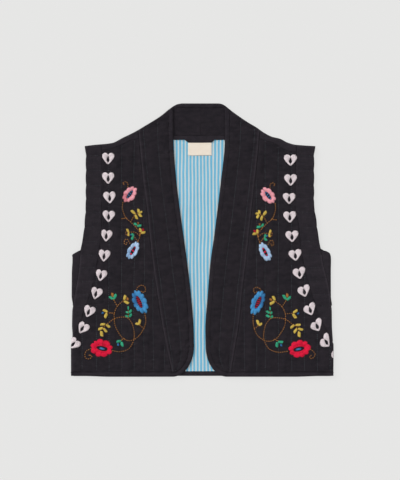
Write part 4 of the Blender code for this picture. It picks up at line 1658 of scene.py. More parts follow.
@dataclass
class Studio:
    """The pale floor, the soft light and the camera straight above."""

    floor_colour: Colour = (0.13, 0.13, 0.1287)
    floor_glow: Colour = (0.676, 0.676, 0.6695)
    world_strength: float = 0.45
    picture_height: float = 0.96
    middle: tuple[float, float] = (-0.0046, 0.0004)
    lens: float = 100.0
    sensor: float = 36.0
    lamps: tuple[tuple[float, float, float, float, float], ...] = (
        (-1.0, 0.9, 0.85, 28.0, 1.7),
        (1.0, 0.2, 1.6, 60.0, 0.5),
    )

    def floor(self) -> None:
        """Lays the floor."""
        bpy.ops.mesh.primitive_plane_add(size=12.0, location=(0.0, 0.0, -0.0003))
        floor = bpy.context.object
        floor.name = "pale_floor"
        material = bpy.data.materials.new("pale_floor")
        material.use_nodes = True
        tree = material.node_tree
        shader = tree.nodes["Principled BSDF"]
        shader.inputs["Roughness"].default_value = 0.95
        shader.inputs["Specular IOR Level"].default_value = 0.1
        shader.inputs["Emission Color"].default_value = (*self.floor_glow, 1.0)
        shader.inputs["Emission Strength"].default_value = 1.0
        paler = tuple(1.005 * value for value in self.floor_colour)
        cloud = coordinates(tree).noise((1.5, 1.5, 1.5))
        cloud.mix(self.floor_colour, paler).feed(shader.inputs["Base Color"])
        floor.data.materials.append(material)

    def light(self) -> None:
        """Lights the vest softly, a little more from the upper left."""
        world = bpy.context.scene.world or bpy.data.worlds.new("studio")
        bpy.context.scene.world = world
        world.use_nodes = True
        backdrop = world.node_tree.nodes["Background"]
        backdrop.inputs["Color"].default_value = (1.0, 1.0, 0.995, 1.0)
        backdrop.inputs["Strength"].default_value = self.world_strength
        for x, y, z, spread, strength in self.lamps:
            bpy.ops.object.light_add(type="SUN", location=(x, y, z))
            lamp = bpy.context.object
            lamp.data.angle = math.radians(spread)
            lamp.data.energy = strength
            lamp.rotation_euler = (-lamp.location).to_track_quat("-Z", "Y").to_euler()

    def camera(self) -> None:
        """Sets the camera straight above, with the neck at the top of the picture."""
        height = self.lens / self.sensor * self.picture_height
        above = height + LEVEL.front_crown * MM
        bpy.ops.object.camera_add(location=(*self.middle, above), rotation=(0.0, 0.0, 0.0))
        camera = bpy.context.object
        camera.data.lens = self.lens
        camera.data.sensor_width = self.sensor
        bpy.context.scene.camera = camera
        bpy.context.scene.view_settings.view_transform = "Standard"


class Ground:
    """The upper face of the cloth, for what is sewn on it."""

    def __init__(self, shells: Sequence[Object]) -> None:
        """Reads the shells that carry the sewing.

        Args:
            shells: The cloth pieces.
        """
        self.trees = []
        for shell in shells:
            points = np.empty(3 * len(shell.data.vertices))
            shell.data.vertices.foreach_get("co", points)
            faces = [tuple(face.vertices) for face in shell.data.polygons]
            self.trees.append(BVHTree.FromPolygons(points.reshape(-1, 3).tolist(), faces))

    def height(self, x: Array, y: Array, otherwise: float = 5.0) -> Array:
        """Returns the cloth's height in mm under each place.

        Args:
            x: Places across, in mm.
            y: Places along, in mm.
            otherwise: The height where there is no cloth.

        Returns:
            The heights.
        """
        down = Vector((0.0, 0.0, -1.0))
        above = 0.05
        found = np.full(x.size, otherwise)
        for k, (a, b) in enumerate(zip(x.ravel() * MM, y.ravel() * MM)):
            start = Vector((a, b, above))
            hits = [tree.ray_cast(start, down)[0] for tree in self.trees]
            levels = [hit.z / MM for hit in hits if hit is not None]
            if levels:
                found[k] = max(levels)
        return found.reshape(x.shape)


class Laid(NamedTuple):
    """A set of strands: their ends in mm, and each one's width, lift and tone."""

    start: Array
    end: Array
    width: Array
    lift: Array
    tone: Array


def strands(start: Array, end: Array, width: Number, lift: Number, tone: Number = 0.4) -> Laid:
    """Returns a set of strands, with even values spread over all of them."""
    count = len(start)
    return Laid(start, end, *(np.broadcast_to(value, count).astype(float) for value in (width, lift, tone)))


def gather(parts: Sequence[Laid]) -> Laid:
    """Returns several sets of strands as one."""
    return Laid(*(np.concatenate([getattr(part, name) for part in parts]) for name in Laid._fields))


@dataclass
class Sewing:
    """Lays strands of thread on the cloth as one mesh."""

    ground: Ground
    rings: int = 5
    sides: int = 5
    rest: float = 0.12
    side_limit: float = 262.4
    fullness: float = 0.3

    def clip(self, laid: Laid) -> Laid:
        """Cuts strands off where the vest's side folds away.

        Args:
            laid: The strands.

        Returns:
            What stays of them.
        """
        inside = [np.abs(ends[:, 0]) <= self.side_limit for ends in (laid.start, laid.end)]
        keep = inside[0] | inside[1]
        start, end = laid.start[keep].copy(), laid.end[keep].copy()
        for moved, fixed in ((start, end), (end, start)):
            outside = np.abs(moved[:, 0]) > self.side_limit
            limit = np.sign(moved[outside, 0]) * self.side_limit
            share = (limit - fixed[outside, 0]) / (moved[outside, 0] - fixed[outside, 0])
            moved[outside] = fixed[outside] + (moved[outside] - fixed[outside]) * share[:, None]
        return Laid(start, end, laid.width[keep], laid.lift[keep], laid.tone[keep])

    def sew(self, name: str, slot: str, material: Material, laid: Laid) -> Object:
        """Returns the dressed strands.

        Args:
            name: The piece's name.
            slot: The name of a material slot, handed on to dress.
            material: The thread.
            laid: The strands.

        Returns:
            The piece.
        """
        laid = self.clip(laid)
        count = len(laid.start)
        t = np.linspace(0.0, 1.0, self.rings)
        plan = laid.start[:, None] + (laid.end - laid.start)[:, None] * t[None, :, None]
        floor = self.ground.height(plan[..., 0], plan[..., 1])
        chord = floor[:, :1] + (floor[:, -1:] - floor[:, :1]) * t
        arch = (4 * t * (1 - t)) ** 0.6
        level = np.maximum(floor, chord) + self.rest + laid.lift[:, None] * arch
        taper = 0.45 + 0.55 * (4 * t * (1 - t)) ** self.fullness
        run = laid.end - laid.start
        length = np.maximum(np.hypot(run[:, 0], run[:, 1]), 1e-6)
        aside = np.column_stack([-run[:, 1], run[:, 0]]) / length[:, None]
        turn = -math.pi / 2 + 2 * math.pi * np.arange(self.sides) / self.sides
        half = laid.width[:, None] / 2 * taper[None]
        offset = half[..., None] * np.cos(turn)
        points = np.empty((count, self.rings, self.sides, 3))
        points[..., 0] = plan[..., 0, None] + offset * aside[:, None, None, 0]
        points[..., 1] = plan[..., 1, None] + offset * aside[:, None, None, 1]
        points[..., 2] = level[..., None] + 0.8 * half[..., None] * np.sin(turn)
        thing = new_object(name, points.reshape(-1, 3) * MM, self.faces(count))
        self.map_threads(thing, length[:, None] * t, laid.tone)
        dress(thing, slot, material)
        return thing

    def faces(self, count: int) -> Array:
        """Lists the triangles of strands, closed at both ends.

        Args:
            count: How many strands there are.

        Returns:
            Rows of three point numbers.
        """
        ring, side = np.meshgrid(np.arange(self.rings - 1), np.arange(self.sides), indexing="ij")
        beside = (side + 1) % self.sides
        a, b = ring * self.sides + side, ring * self.sides + beside
        c, d = b + self.sides, a + self.sides
        tube = [np.stack([a, b, c], -1).reshape(-1, 3), np.stack([a, c, d], -1).reshape(-1, 3)]
        fan = np.arange(1, self.sides - 1)
        last = (self.rings - 1) * self.sides
        caps = [
            np.stack([0 * fan, fan + 1, fan], -1),
            np.stack([last + 0 * fan, last + fan, last + fan + 1], -1),
        ]
        one = np.concatenate(tube + caps)
        shift = np.arange(count)[:, None, None] * self.rings * self.sides
        return (one[None] + shift).reshape(-1, 3)

    def map_threads(self, thing: Object, along: Array, tone: Array) -> None:
        """Gives strands their map and their tone.

        Args:
            thing: The strands' object.
            along: Each ring's place along its strand, in mm.
            tone: Each strand's tone from 0 to 1.
        """
        mesh = thing.data
        corner = np.empty(len(mesh.loops), dtype=np.int32)
        mesh.loops.foreach_get("vertex_index", corner)
        place = np.empty((*along.shape, self.sides, 2))
        place[..., 0] = along[..., None]
        place[..., 1] = np.arange(self.sides) / self.sides
        layer = mesh.uv_layers.new(name="thread")
        layer.uv.foreach_set("vector", place.reshape(-1, 2)[corner].ravel())
        value = mesh.attributes.new("tone", "FLOAT", "POINT")
        value.data.foreach_set("value", np.repeat(tone, self.rings * self.sides).astype(np.float32))


def smooth_path(spots: Sequence[tuple[float, float]], step: float) -> Array:
    """Returns points at even steps along a smooth curve through a few spots.

    Args:
        spots: The curve's own points.
        step: The distance between the returned points.

    Returns:
        Rows of x, y.
    """
    spots = np.asarray(spots, float)
    if len(spots) == 2:
        fine = spots[0] + (spots[1] - spots[0]) * np.linspace(0, 1, 40)[:, None]
    else:
        padded = np.vstack([2 * spots[0] - spots[1], spots, 2 * spots[-1] - spots[-2]])
        t = np.linspace(0, 1, 24, endpoint=False)[:, None]
        pieces = []
        for a, b, c, d in zip(padded, padded[1:], padded[2:], padded[3:]):
            bend = 2 * b + (c - a) * t + (2 * a - 5 * b + 4 * c - d) * t**2 + (3 * b - a - 3 * c + d) * t**3
            pieces.append(bend / 2)
        fine = np.vstack(pieces + [spots[-1:]])
    gone = np.concatenate([[0.0], np.cumsum(np.hypot(*np.diff(fine, axis=0).T))])
    at = np.arange(0.0, gone[-1] + step / 2, step)
    return np.column_stack([np.interp(at, gone, fine[:, 0]), np.interp(at, gone, fine[:, 1])])


def turned(points: Array, centre: tuple[float, float], angle: float, mirror: bool = False) -> Array:
    """Returns points turned by an angle in degrees, mirrored first where asked, and moved to a centre."""
    points = points * ((-1.0, 1.0) if mirror else (1.0, 1.0))
    c, s = math.cos(math.radians(angle)), math.sin(math.radians(angle))
    return points @ np.array([[c, s], [-s, c]]) + centre


class HeartShape(NamedTuple):
    """How the hearts of one side lie: their width, height, and for leaning ones the lobe by the armhole.

    That lobe is narrow times as wide, and the heart is skewed by skew for each degree of its lean.
    """

    width: float
    height: float
    narrow: float
    skew: float


@dataclass
class Hearts:
    """The row of satin-stitched hearts along one side, each with a slit left open in the middle."""

    side: Side
    pairs: int = 48
    left_shape: HeartShape = HeartShape(1.0, 0.98, 0.86, 0.0)
    right_shape: HeartShape = HeartShape(1.06, 0.95, 1.0, 0.010)
    inner_top: float = 6.2
    inner_drop: float = 16.6
    slit_top: float = 5.6
    slit_bottom: float = -7.6
    slit_width: float = 2.7
    outline: tuple[Spot, ...] = table(
        Spot,
        (0.3, 6.6), (1.4, 9.0), (3.6, 11.0), (6.4, 11.7), (9.4, 10.8), (11.6, 8.4), (12.3, 5.4), (11.7, 2.4),
        (10.2, -0.6), (7.7, -4.2), (4.8, -7.9), (2.2, -10.9), (0.4, -11.8),
    )
    left: tuple[tuple[float, float, float], ...] = (
        (-188.6, 163.6, 1), (-188.2, 124.4, 0), (-185.4, 85.6, -3), (-187.4, 48, 1), (-192, 9.2, 5),
        (-196.4, -30.8, 5), (-203, -70.2, 9), (-212.6, -106.2, 15), (-227, -142.4, 19), (-239.4, -175.6, 30),
        (-257.4, -207.0, 43),
    )
    right: tuple[tuple[float, float, float], ...] = (
        (176.4, 160.4, 0), (176.8, 120.6, 1), (173.8, 83.6, 0), (175, 46.6, 2), (179.4, 7.8, 4),
        (186, -29.8, 7), (194.2, -66, 10), (203.8, -101.8, 14), (215.4, -138.6, 19), (229.2, -171, 25),
        (247.2, -202.6, 38), (270.2, -226.6, 36),
    )

    def half(self, generator: np.random.Generator) -> tuple[Array, Array]:
        """Lays out a heart's right half, its tip at the bottom.

        Args:
            generator: The source of small unevenness.

        Returns:
            The inner and the outer ends of its strands.
        """
        path = smooth_path(self.outline, 0.1)
        t = np.linspace(0.0, 1.0, self.pairs)
        outer = path[np.round(t * (len(path) - 1)).astype(int)]
        y = self.inner_top - self.inner_drop * t**1.25
        down = np.clip((self.slit_top - y) / (self.slit_top - self.slit_bottom), 0, 1)
        opening = np.sin(math.pi * down**1.55) ** 0.7
        inner = np.column_stack([0.25 + self.slit_width * opening, y])
        outer *= 1 + generator.normal(0, 0.01, (len(t), 1))
        inner[:, 0] += generator.normal(0, 0.1, len(t))
        return inner, outer

    def make(self, sewing: Sewing, thread: Material) -> Object:
        """Sews the hearts.

        Args:
            sewing: What lays strands on the cloth.
            thread: The finish.

        Returns:
            The dressed hearts.
        """
        generator = np.random.default_rng(71 + self.side.value)
        parts = []
        shape = self.side.pick(self.left_shape, self.right_shape)
        for x, y, tilt in self.side.pick(self.left, self.right):
            angle = self.side.value * tilt
            lean = min(1.0, tilt / 9.0)
            for mirror in (False, True):
                inner, outer = self.half(generator)
                outer *= 1 + 0.03 * generator.uniform(-1, 1, 2)
                by_armhole = mirror is (self.side is Side.LEFT)
                if by_armhole:
                    outer[:, 0] *= 1 + (shape.narrow - 1) * lean
                for points in (inner, outer):
                    points *= (shape.width, shape.height)
                    points[:, 1] += (1 if by_armhole else -1) * shape.skew * tilt * points[:, 0]
                ends = [turned(points, (x, y), angle, mirror) for points in (inner, outer)]
                width = 1.15 + generator.normal(0, 0.04, self.pairs)
                tone = 0.6 + generator.normal(0, 0.14, self.pairs)
                parts.append(strands(*ends, width, 0.4 + generator.normal(0, 0.06, self.pairs), tone))
        return sewing.sew(f"hearts_{self.side.word}", "pale_pink_thread", thread, gather(parts))


class Bloom(NamedTuple):
    """One flower: its place on the left front, half length, half width, lean in degrees, petals and eye.

    The eye has bars of bar_width, and lies off the middle by eye_off mm along and eye_aside mm across the
    flower. The right front's flower is on_right times as long and as wide. Depths tell how dark the shaded
    side is, left and right.
    """

    name: str
    x: float
    y: float
    length: float
    width: float
    lean: float
    petals: int
    eye_length: float
    eye_width: float
    slot: str
    eye_slot: str
    bars: int
    bars_along: bool
    bar_width: float
    shade: float
    eye_off: float = 0.0
    eye_aside: float = 0.0
    on_right: tuple[float, float] = (1.0, 1.0)
    depths: tuple[float, float] = (0.65, 0.65)


class Spray(NamedTuple):
    """One leaf or bud: its foot, its tip, how wide it is, its thread, and how light it is from 0 to 1."""

    x0: float
    y0: float
    x1: float
    y1: float
    width: float
    slot: str
    tone: float = 0.5


@dataclass
class Garland:
    """The flowers, vines, leaves and buds of one front."""

    side: Side
    ring_step: float = 0.78
    leaf_fullness: float = 1.12
    stem_step: float = 4.4
    stem_stitch: float = 2.1
    stem_width: float = 1.7
    stitch_step: float = 0.72
    notch: float = 0.78
    petal_rise: float = 0.24
    fold: float = 0.52
    eye_pull: float = 0.62
    spread: float = 1.089
    shift: float = 25.5
    blooms: tuple[Bloom, ...] = (
        Bloom("pink", -145.2, 91.6, 18.2, 12.0, 53, 9, 9.8, 3.6, "rose_thread", BLUE, 4, False, 1.6, 205,
              on_right=(1.05, 1.06), depths=(0.65, 0.1)),
        Bloom("pale", -138.8, -21.0, 19.2, 10.6, 61, 9, 9.8, 3.2, "light_blue_thread", RED, 3, False, 3.3,
              205, on_right=(1.05, 1.0), depths=(0.8, 0.25)),
        Bloom("blue", -125.2, -123.2, 25.4, 14.4, -66, 11, 13.6, 4.2, BLUE, RED, 6, False, 1.7,
              165, eye_aside=-0.9, on_right=(1.0, 0.9)),
        Bloom("red", -201.6, -216.4, 22.2, 18.2, -12, 9, 11.8, 4.6, RED, BLUE, 3, True, 1.1, 0,
              eye_off=1.5),
    )
    stems: tuple[tuple[Spot, ...], ...] = tuple(table(Spot, *stem) for stem in (
        ((-159, 75), (-160, 65), (-157, 53), (-152, 44), (-143, 36), (-133, 26), (-126, 17), (-125, 8),
         (-129, -3)),
        ((-152, 44), (-162, 43)),
        ((-143, 37), (-135, 51), (-129, 54)),
        ((-126, 10), (-135, 16), (-146, 16), (-152, 18), (-153, 13), (-150, 10)),
        ((-129, -2), (-137, 8)),
        ((-133, 27), (-130, 29), (-128, 33)),
        ((-125, 10), (-123, 14)),
        ((-149, 107), (-149, 113), (-153, 117), (-158, 115), (-157, 112)),
        ((-145, -6), (-149, 1), (-153, 2), (-156, -3), (-155, -8), (-151, -8), (-151, -4)),
        ((-115, -147), (-113, -161), (-116, -174), (-124, -188), (-135, -198), (-147, -201), (-159, -196),
         (-168, -184), (-175, -169), (-176, -157), (-176, -146), (-170, -132), (-158, -121)),
        ((-179, -221), (-166, -223), (-155, -221), (-145, -215), (-138, -202), (-136, -190), (-138, -174),
         (-142, -164), (-150, -155), (-162, -154), (-176, -157), (-187, -165), (-195, -171), (-200, -178)),
        ((-170, -132), (-178, -118)),
        ((-176, -146), (-190, -145)),
        ((-148, -155), (-148, -140)),
        ((-117, -176), (-127, -169)),
        ((-156, -197), (-162, -200)),
        ((-132, -103), (-129, -94), (-121, -90), (-114, -95), (-115, -103), (-120, -104), (-123, -101)),
        ((-223, -217), (-232, -222), (-235, -231), (-231, -237), (-223, -236), (-221, -231), (-226, -230)),
    ))
    sprays: tuple[Spray, ...] = table(
        Spray,
        (-134.4, 51.8, -142.2, 60.4, 5.0, YELLOW), (-133.6, 51.6, -130.6, 41.6, 4.8, YELLOW),
        (-127.8, 54.6, -127.2, 62.6, 4.6, YELLOW), (-126.4, 55, -120.2, 56.6, 4.2, YELLOW),
        (-127.4, 54, -121.8, 46.4, 4.8, YELLOW), (-131.2, 29.6, -136.4, 34.6, 4.4, GREEN),
        (-130.8, 28.8, -121.8, 28.9, 4.8, GREEN), (-128.4, 32.8, -128, 36, 3.2, BROWN, 0.2),
        (-122.8, 15.2, -124.2, 24.2, 4.6, YELLOW), (-122.8, 15, -113.8, 15.4, 5.0, YELLOW),
        (-119.6, 17.6, -117.4, 23, 4.2, RED, 0.1), (-147.6, 15.8, -150.8, 23.2, 4.2, YELLOW),
        (-147.4, 16.4, -147.8, 8.2, 3.8, YELLOW), (-137.4, 8.2, -141, 13.6, 4.4, GREEN),
        (-137.4, 7.8, -142, 1.2, 4.6, GREEN), (-141.2, 9.4, -144.4, 12, 2.4, BLUE, 0.0),
        (-178.2, -118.6, -186.4, -111.8, 4.8, GREEN), (-177.8, -118.4, -171.8, -107.6, 5.0, GREEN),
        (-179.2, -113.6, -179.8, -105, 4.6, BROWN), (-157, -120, -153, -109.8, 5.0, YELLOW),
        (-157, -121, -146.8, -127.2, 5.0, YELLOW), (-150.6, -120, -148.4, -115.2, 4.6, BROWN),
        (-189.4, -144.4, -198.6, -138.2, 4.8, YELLOW), (-189.8, -145.4, -195.6, -155.4, 5.4, YELLOW),
        (-197.4, -145.6, -201, -145.2, 3.8, BLUE, 0.05), (-193.6, -168, -204.4, -168.6, 4.6, YELLOW),
        (-193, -168, -184.8, -175, 4.6, YELLOW), (-198.4, -175, -208.8, -178.6, 4.6, YELLOW),
        (-198, -175, -191.2, -184.6, 4.6, YELLOW), (-201.6, -180.6, -201, -192.8, 5.8, YELLOW),
        (-148, -139.6, -148, -132, 2.6, GREEN), (-147, -145.4, -141, -139.8, 4.4, GREEN),
        (-148.6, -146.2, -151.8, -142.2, 4.2, GREEN), (-147, -153.2, -140.8, -148, 4.6, GREEN),
        (-148.6, -154.4, -153.4, -150, 4.2, GREEN), (-127, -169, -124, -157.8, 4.8, YELLOW),
        (-127, -169, -133.4, -165.6, 4.6, YELLOW), (-161.8, -201.6, -172.2, -203, 4.8, GREEN),
        (-161.4, -202.4, -159.8, -213, 5.4, GREEN), (-168, -206, -168.6, -211, 3.6, BLUE, 0.1),
    )

    def place(self, spot: tuple[float, float]) -> tuple[float, float]:
        """Finds where a spot of the left front lies on this side. The right front is spread a little wider.

        Args:
            spot: The spot.

        Returns:
            Its place.
        """
        x, y = spot[0], spot[1]
        if self.side is Side.LEFT:
            return x, y
        if y > -60:
            return -x - 13.4, y - 2.4
        last_tendril = ease(-x, 219.0, 236.0)
        if y > -103.5 and x > -133:
            x, y = -131.6 + 0.78 * (x + 131.6), -103.0 + 0.78 * (y + 103.0)
        nearest_vine = 4.0 * ease(x, -122.0, -113.0) * ease(-y, 140.0, 152.0)
        lifted = 4.5 * last_tendril * ease(-y, 222.0, 236.0)
        return -self.spread * x - self.shift - 5.0 * last_tendril + nearest_vine, y - 1.2 + lifted

    def bloom_strands(self, bloom: Bloom, generator: np.random.Generator) -> tuple[Laid, Laid]:
        """Returns a flower's petals, and the bars across its eye.

        Args:
            bloom: The flower.
            generator: The source of small unevenness.

        Returns:
            The petals' strands and the eye's strands.
        """
        mirror = self.side is Side.RIGHT
        centre = self.place((bloom.x, bloom.y))
        lean = -bloom.lean if mirror else bloom.lean
        length, breadth = np.array([bloom.length, bloom.width]) * (bloom.on_right if mirror else 1.0)
        around = 2 * math.pi * math.sqrt((length**2 + breadth**2) / 2)
        count = int(around / self.ring_step)
        angle = np.linspace(0, 2 * math.pi, count, endpoint=False)
        uneven = 0.22 * generator.uniform(-1, 1, bloom.petals)
        starts = (np.arange(bloom.petals) + uneven) * 2 * math.pi / bloom.petals
        starts = np.concatenate([starts, starts[:1] + 2 * math.pi])
        shifted = np.where(angle < starts[0], angle + 2 * math.pi, angle)
        petal = np.clip(np.searchsorted(starts, shifted, side="right") - 1, 0, bloom.petals - 1)
        in_petal = (shifted - starts[petal]) / (starts[petal + 1] - starts[petal])
        reach = 0.99 + 0.05 * generator.uniform(-1, 1, bloom.petals)
        bulge = reach[petal] * (self.notch + self.petal_rise * np.sin(math.pi * in_petal) ** 0.5)
        rim = np.column_stack([length * np.cos(angle), breadth * np.sin(angle)]) * bulge[:, None]
        rim *= 1 + generator.normal(0, 0.012, (count, 1))
        shift = bloom.eye_off, bloom.eye_aside
        eye = np.column_stack([bloom.eye_length * np.cos(angle), bloom.eye_width * np.sin(angle)]) + shift
        fold = self.fold + generator.normal(0, 0.015, count)
        gathered = angle + (0.5 - in_petal) * 2 * math.pi / bloom.petals * 0.25
        waist = np.column_stack([length * np.cos(gathered), breadth * np.sin(gathered)]) * fold[:, None]
        waist = eye + (waist - eye) * self.eye_pull
        turn = math.radians(bloom.shade - bloom.lean)
        shaded = ease(np.cos(angle - turn), 0.45, 0.8) if bloom.shade else 0.0
        depth = bloom.depths[mirror]
        tone = 0.9 - depth * shaded + generator.normal(0, 0.09, count)
        puffed = 0.75 + 0.55 * np.sin(math.pi * in_petal)
        rings = (waist * 0.98, rim, eye, waist * 1.06)
        waist_out, rim_out, eye_in, waist_in = (turned(ring, centre, lean, mirror) for ring in rings)
        outer = strands(waist_out, rim_out, 1.15, puffed, tone)
        inner = strands(eye_in, waist_in, 1.0, 0.7, tone - 0.12)
        return gather([outer, inner]), self.eye_strands(bloom, centre, lean, mirror, generator)

    @staticmethod
    def eye_strands(
        bloom: Bloom, centre: tuple[float, float], lean: float, mirror: bool, generator: np.random.Generator
    ) -> Laid:
        """Lays the bars in a flower's eye, across it or along it.

        Args:
            bloom: The flower.
            centre: Its place.
            lean: Its lean on this side, in degrees.
            mirror: Whether it is the right front's.
            generator: The source of small unevenness.

        Returns:
            The bars.
        """
        if bloom.bars_along:
            offset = np.linspace(-0.28, 0.28, bloom.bars) * bloom.eye_width
            reach = bloom.eye_length * np.array([0.42, 0.5, 0.42])
            start, end = np.column_stack([-reach, offset]), np.column_stack([reach, offset])
        else:
            at = np.linspace(-0.8, 0.8, bloom.bars)
            half = bloom.eye_width * np.sqrt(1 - at**2) * 0.92
            slant = 0.6
            x = at * bloom.eye_length * 0.94
            start, end = np.column_stack([x - slant, -half]), np.column_stack([x + slant, half])
        tone = 0.65 + generator.normal(0, 0.12, len(start))
        shift = bloom.eye_off, bloom.eye_aside
        ends = [turned(points + shift, centre, lean, mirror) for points in (start, end)]
        return strands(*ends, bloom.bar_width, 0.35, tone)

    def stem_strands(self, generator: np.random.Generator) -> Laid:
        """Lays the stem stitches of all vines and tendrils.

        Args:
            generator: The source of small unevenness.

        Returns:
            The stitches.
        """
        parts = []
        for stem in self.stems:
            spots = [self.place(spot) for spot in stem]
            path = smooth_path(spots, self.stem_step)
            if len(path) < 3:
                path = smooth_path(spots, self.stem_step / 2)
            run = np.gradient(path, axis=0)
            run /= np.hypot(run[:, 0], run[:, 1])[:, None]
            aside = np.column_stack([-run[:, 1], run[:, 0]])
            reach = run * self.stem_stitch / 2 + aside * 0.25
            tone = 0.8 + generator.normal(0, 0.12, len(path))
            parts.append(strands(path - reach, path + reach, self.stem_width, 0.4, np.clip(tone, 0.1, 1)))
            couching = (path[:-1] + path[1:]) / 2
            ends = couching - reach[:-1] * 0.5, couching + reach[:-1] * 0.5
            parts.append(strands(*ends, 0.6, 0.1, 0.0))
        return gather(parts)

    def spray_strands(self, spray: Spray, generator: np.random.Generator) -> Laid:
        """Lays the slanting satin stitches of one leaf or bud.

        Args:
            spray: The leaf or bud.
            generator: The source of small unevenness.

        Returns:
            The stitches.
        """
        foot, tip = (np.array(self.place(spot)) for spot in ((spray.x0, spray.y0), (spray.x1, spray.y1)))
        run = tip - foot
        length = float(np.hypot(*run))
        run = run / length
        aside = np.array([-run[1], run[0]])
        count = max(5, int(length / self.stitch_step))
        t = np.linspace(0.13, 0.9, count)
        half = self.leaf_fullness * spray.width / 2 * (0.45 + 0.55 * np.sin(math.pi * t**1.3) ** 0.4)
        middle = foot + run * (t * length)[:, None]
        slant = 0.4 * half[:, None] * run
        bend = aside * half[:, None]
        tone = spray.tone + generator.normal(0, 0.12, count)
        return strands(middle - bend - slant, middle + bend + slant, 1.2, 0.6, tone)

    def make(self, sewing: Sewing, threads: dict[str, Material]) -> list[Object]:
        """Sews the flowers, vines, leaves and buds of this front.

        Args:
            sewing: What lays strands on the cloth.
            threads: The thread finishes by name.

        Returns:
            The dressed pieces.
        """
        generator = np.random.default_rng(501 + self.side.value)
        word = self.side.word
        pieces, bars = [], {}
        for bloom in self.blooms:
            petals, eye = self.bloom_strands(bloom, generator)
            pieces.append(sewing.sew(f"{bloom.name}_flower_{word}", bloom.slot, threads[bloom.slot], petals))
            bars.setdefault(bloom.eye_slot, []).append(eye)
        stems = self.stem_strands(generator)
        pieces.append(sewing.sew(f"vines_{word}", BROWN, threads[BROWN], stems))
        small: dict[str, list[Laid]] = bars
        for spray in self.sprays:
            small.setdefault(spray.slot, []).append(self.spray_strands(spray, generator))
        for slot, parts in small.items():
            colour = slot.removesuffix("_thread")
            pieces.append(sewing.sew(f"{colour}_sprays_{word}", slot, threads[slot], gather(parts)))
        return pieces


@dataclass
class Quilting:
    """The running stitches along all quilting lines of one side, which end clear of seams and folds."""

    side: Side
    pitch: float = 4.2
    seam_clear: float = 2.5
    fold_clear: float = 3.0
    length: float = 1.15
    width: float = 0.8

    def run(self, points: Array, generator: np.random.Generator) -> Laid:
        """Lays running stitches along a line, duller where they run crosswise.

        Args:
            points: The line.
            generator: The source of small unevenness.

        Returns:
            The stitches.
        """
        gone = np.concatenate([[0.0], np.cumsum(np.hypot(*np.diff(points, axis=0).T))])
        start = np.arange(self.pitch / 2, gone[-1] - self.pitch, self.pitch)
        start = start + generator.normal(0, 0.14, len(start))
        ends = []
        for at in (start, start + self.length + generator.normal(0, 0.12, len(start))):
            ends.append(np.column_stack([np.interp(at, gone, axis) for axis in points.T]))
        waver = generator.normal(0, 0.1, (len(start), 2))
        upright = abs(points[-1, 1] - points[0, 1]) > abs(points[-1, 0] - points[0, 0])
        tone = (0.7 if upright else 0.0) + generator.normal(0, 0.25, len(start))
        return strands(ends[0] + waver, ends[1] + waver, self.width, 0.12, np.clip(tone, 0, 1))

    def lines(self) -> list[Array]:
        """Finds the quilting lines of this side.

        Returns:
            Each line's points.
        """
        side = self.side
        found = []
        hem = CUT.hem_front_y + CUT.binding_width + 1.5
        for x in CUT.quilt_x(side):
            y = np.linspace(hem, float(CUT.fold_y(side, x)) - self.fold_clear, 400)
            wobble = 0.5 * np.sin(y / 37.0 + x)
            short_of_strip = side.value * (CUT.body_outer(side, y, self.seam_clear) - x) > 0
            inside = short_of_strip & (side.value * (x - CUT.band_seam_x(side, y)) > self.seam_clear)
            if inside.sum() > 8:
                found.append(np.column_stack([x + wobble[inside], y[inside]]))
        inset = CUT.binding_width
        for share in CUT.band_lines:
            y = np.linspace(hem, 262.0, 400)
            outer = CUT.band_seam_x(side, y)
            inner = CUT.opening_x(side, y, inset)
            x = outer + (inner - outer) * share
            inside = y < CUT.fold_y(side, x) - self.fold_clear
            found.append(np.column_stack([x[inside], y[inside]]))
        for y in CUT.quilt_y:
            outer = float(CUT.across(CUT.strip_outer_rows, side, y)) - side.value * 3.5
            inner = float(CUT.strip_seam_x(side, y)) + side.value * 2.0
            x = np.linspace(inner, outer, 30)
            if side.value * (outer - inner) > 6.0:
                found.append(np.column_stack([x, y + 0.4 * np.sin(x / 9.0 + y)]))
        return found

    def make(self, sewing: Sewing, thread: Material) -> Object:
        """Returns the dressed stitches."""
        generator = np.random.default_rng(901 + self.side.value)
        laid = gather([self.run(line, generator) for line in self.lines()])
        return sewing.sew(f"quilting_{self.side.word}", "quilting_thread", thread, laid)


THREADS: tuple[Thread, ...] = (
    Thread("pale_pink_thread", (0.70, 0.60, 0.63), (0.90, 0.80, 0.83)),
    Thread("rose_thread", (0.58, 0.12, 0.15), (1.0, 0.44, 0.51)),
    Thread("red_thread", (0.26, 0.0, 0.012), (0.84, 0.003, 0.050)),
    Thread("blue_thread", (0.013, 0.10, 0.30), (0.07, 0.33, 0.66)),
    Thread("light_blue_thread", (0.24, 0.42, 0.68), (0.50, 0.68, 0.92)),
    Thread("yellow_thread", (0.42, 0.27, 0.022), (0.82, 0.61, 0.12)),
    Thread("green_thread", (0.012, 0.20, 0.10), (0.045, 0.52, 0.29)),
    Thread("brown_thread", (0.10, 0.03, 0.007), (0.56, 0.23, 0.045)),
    Thread("quilting_thread", (0.014, 0.019, 0.022), (0.15, 0.20, 0.215)),
)


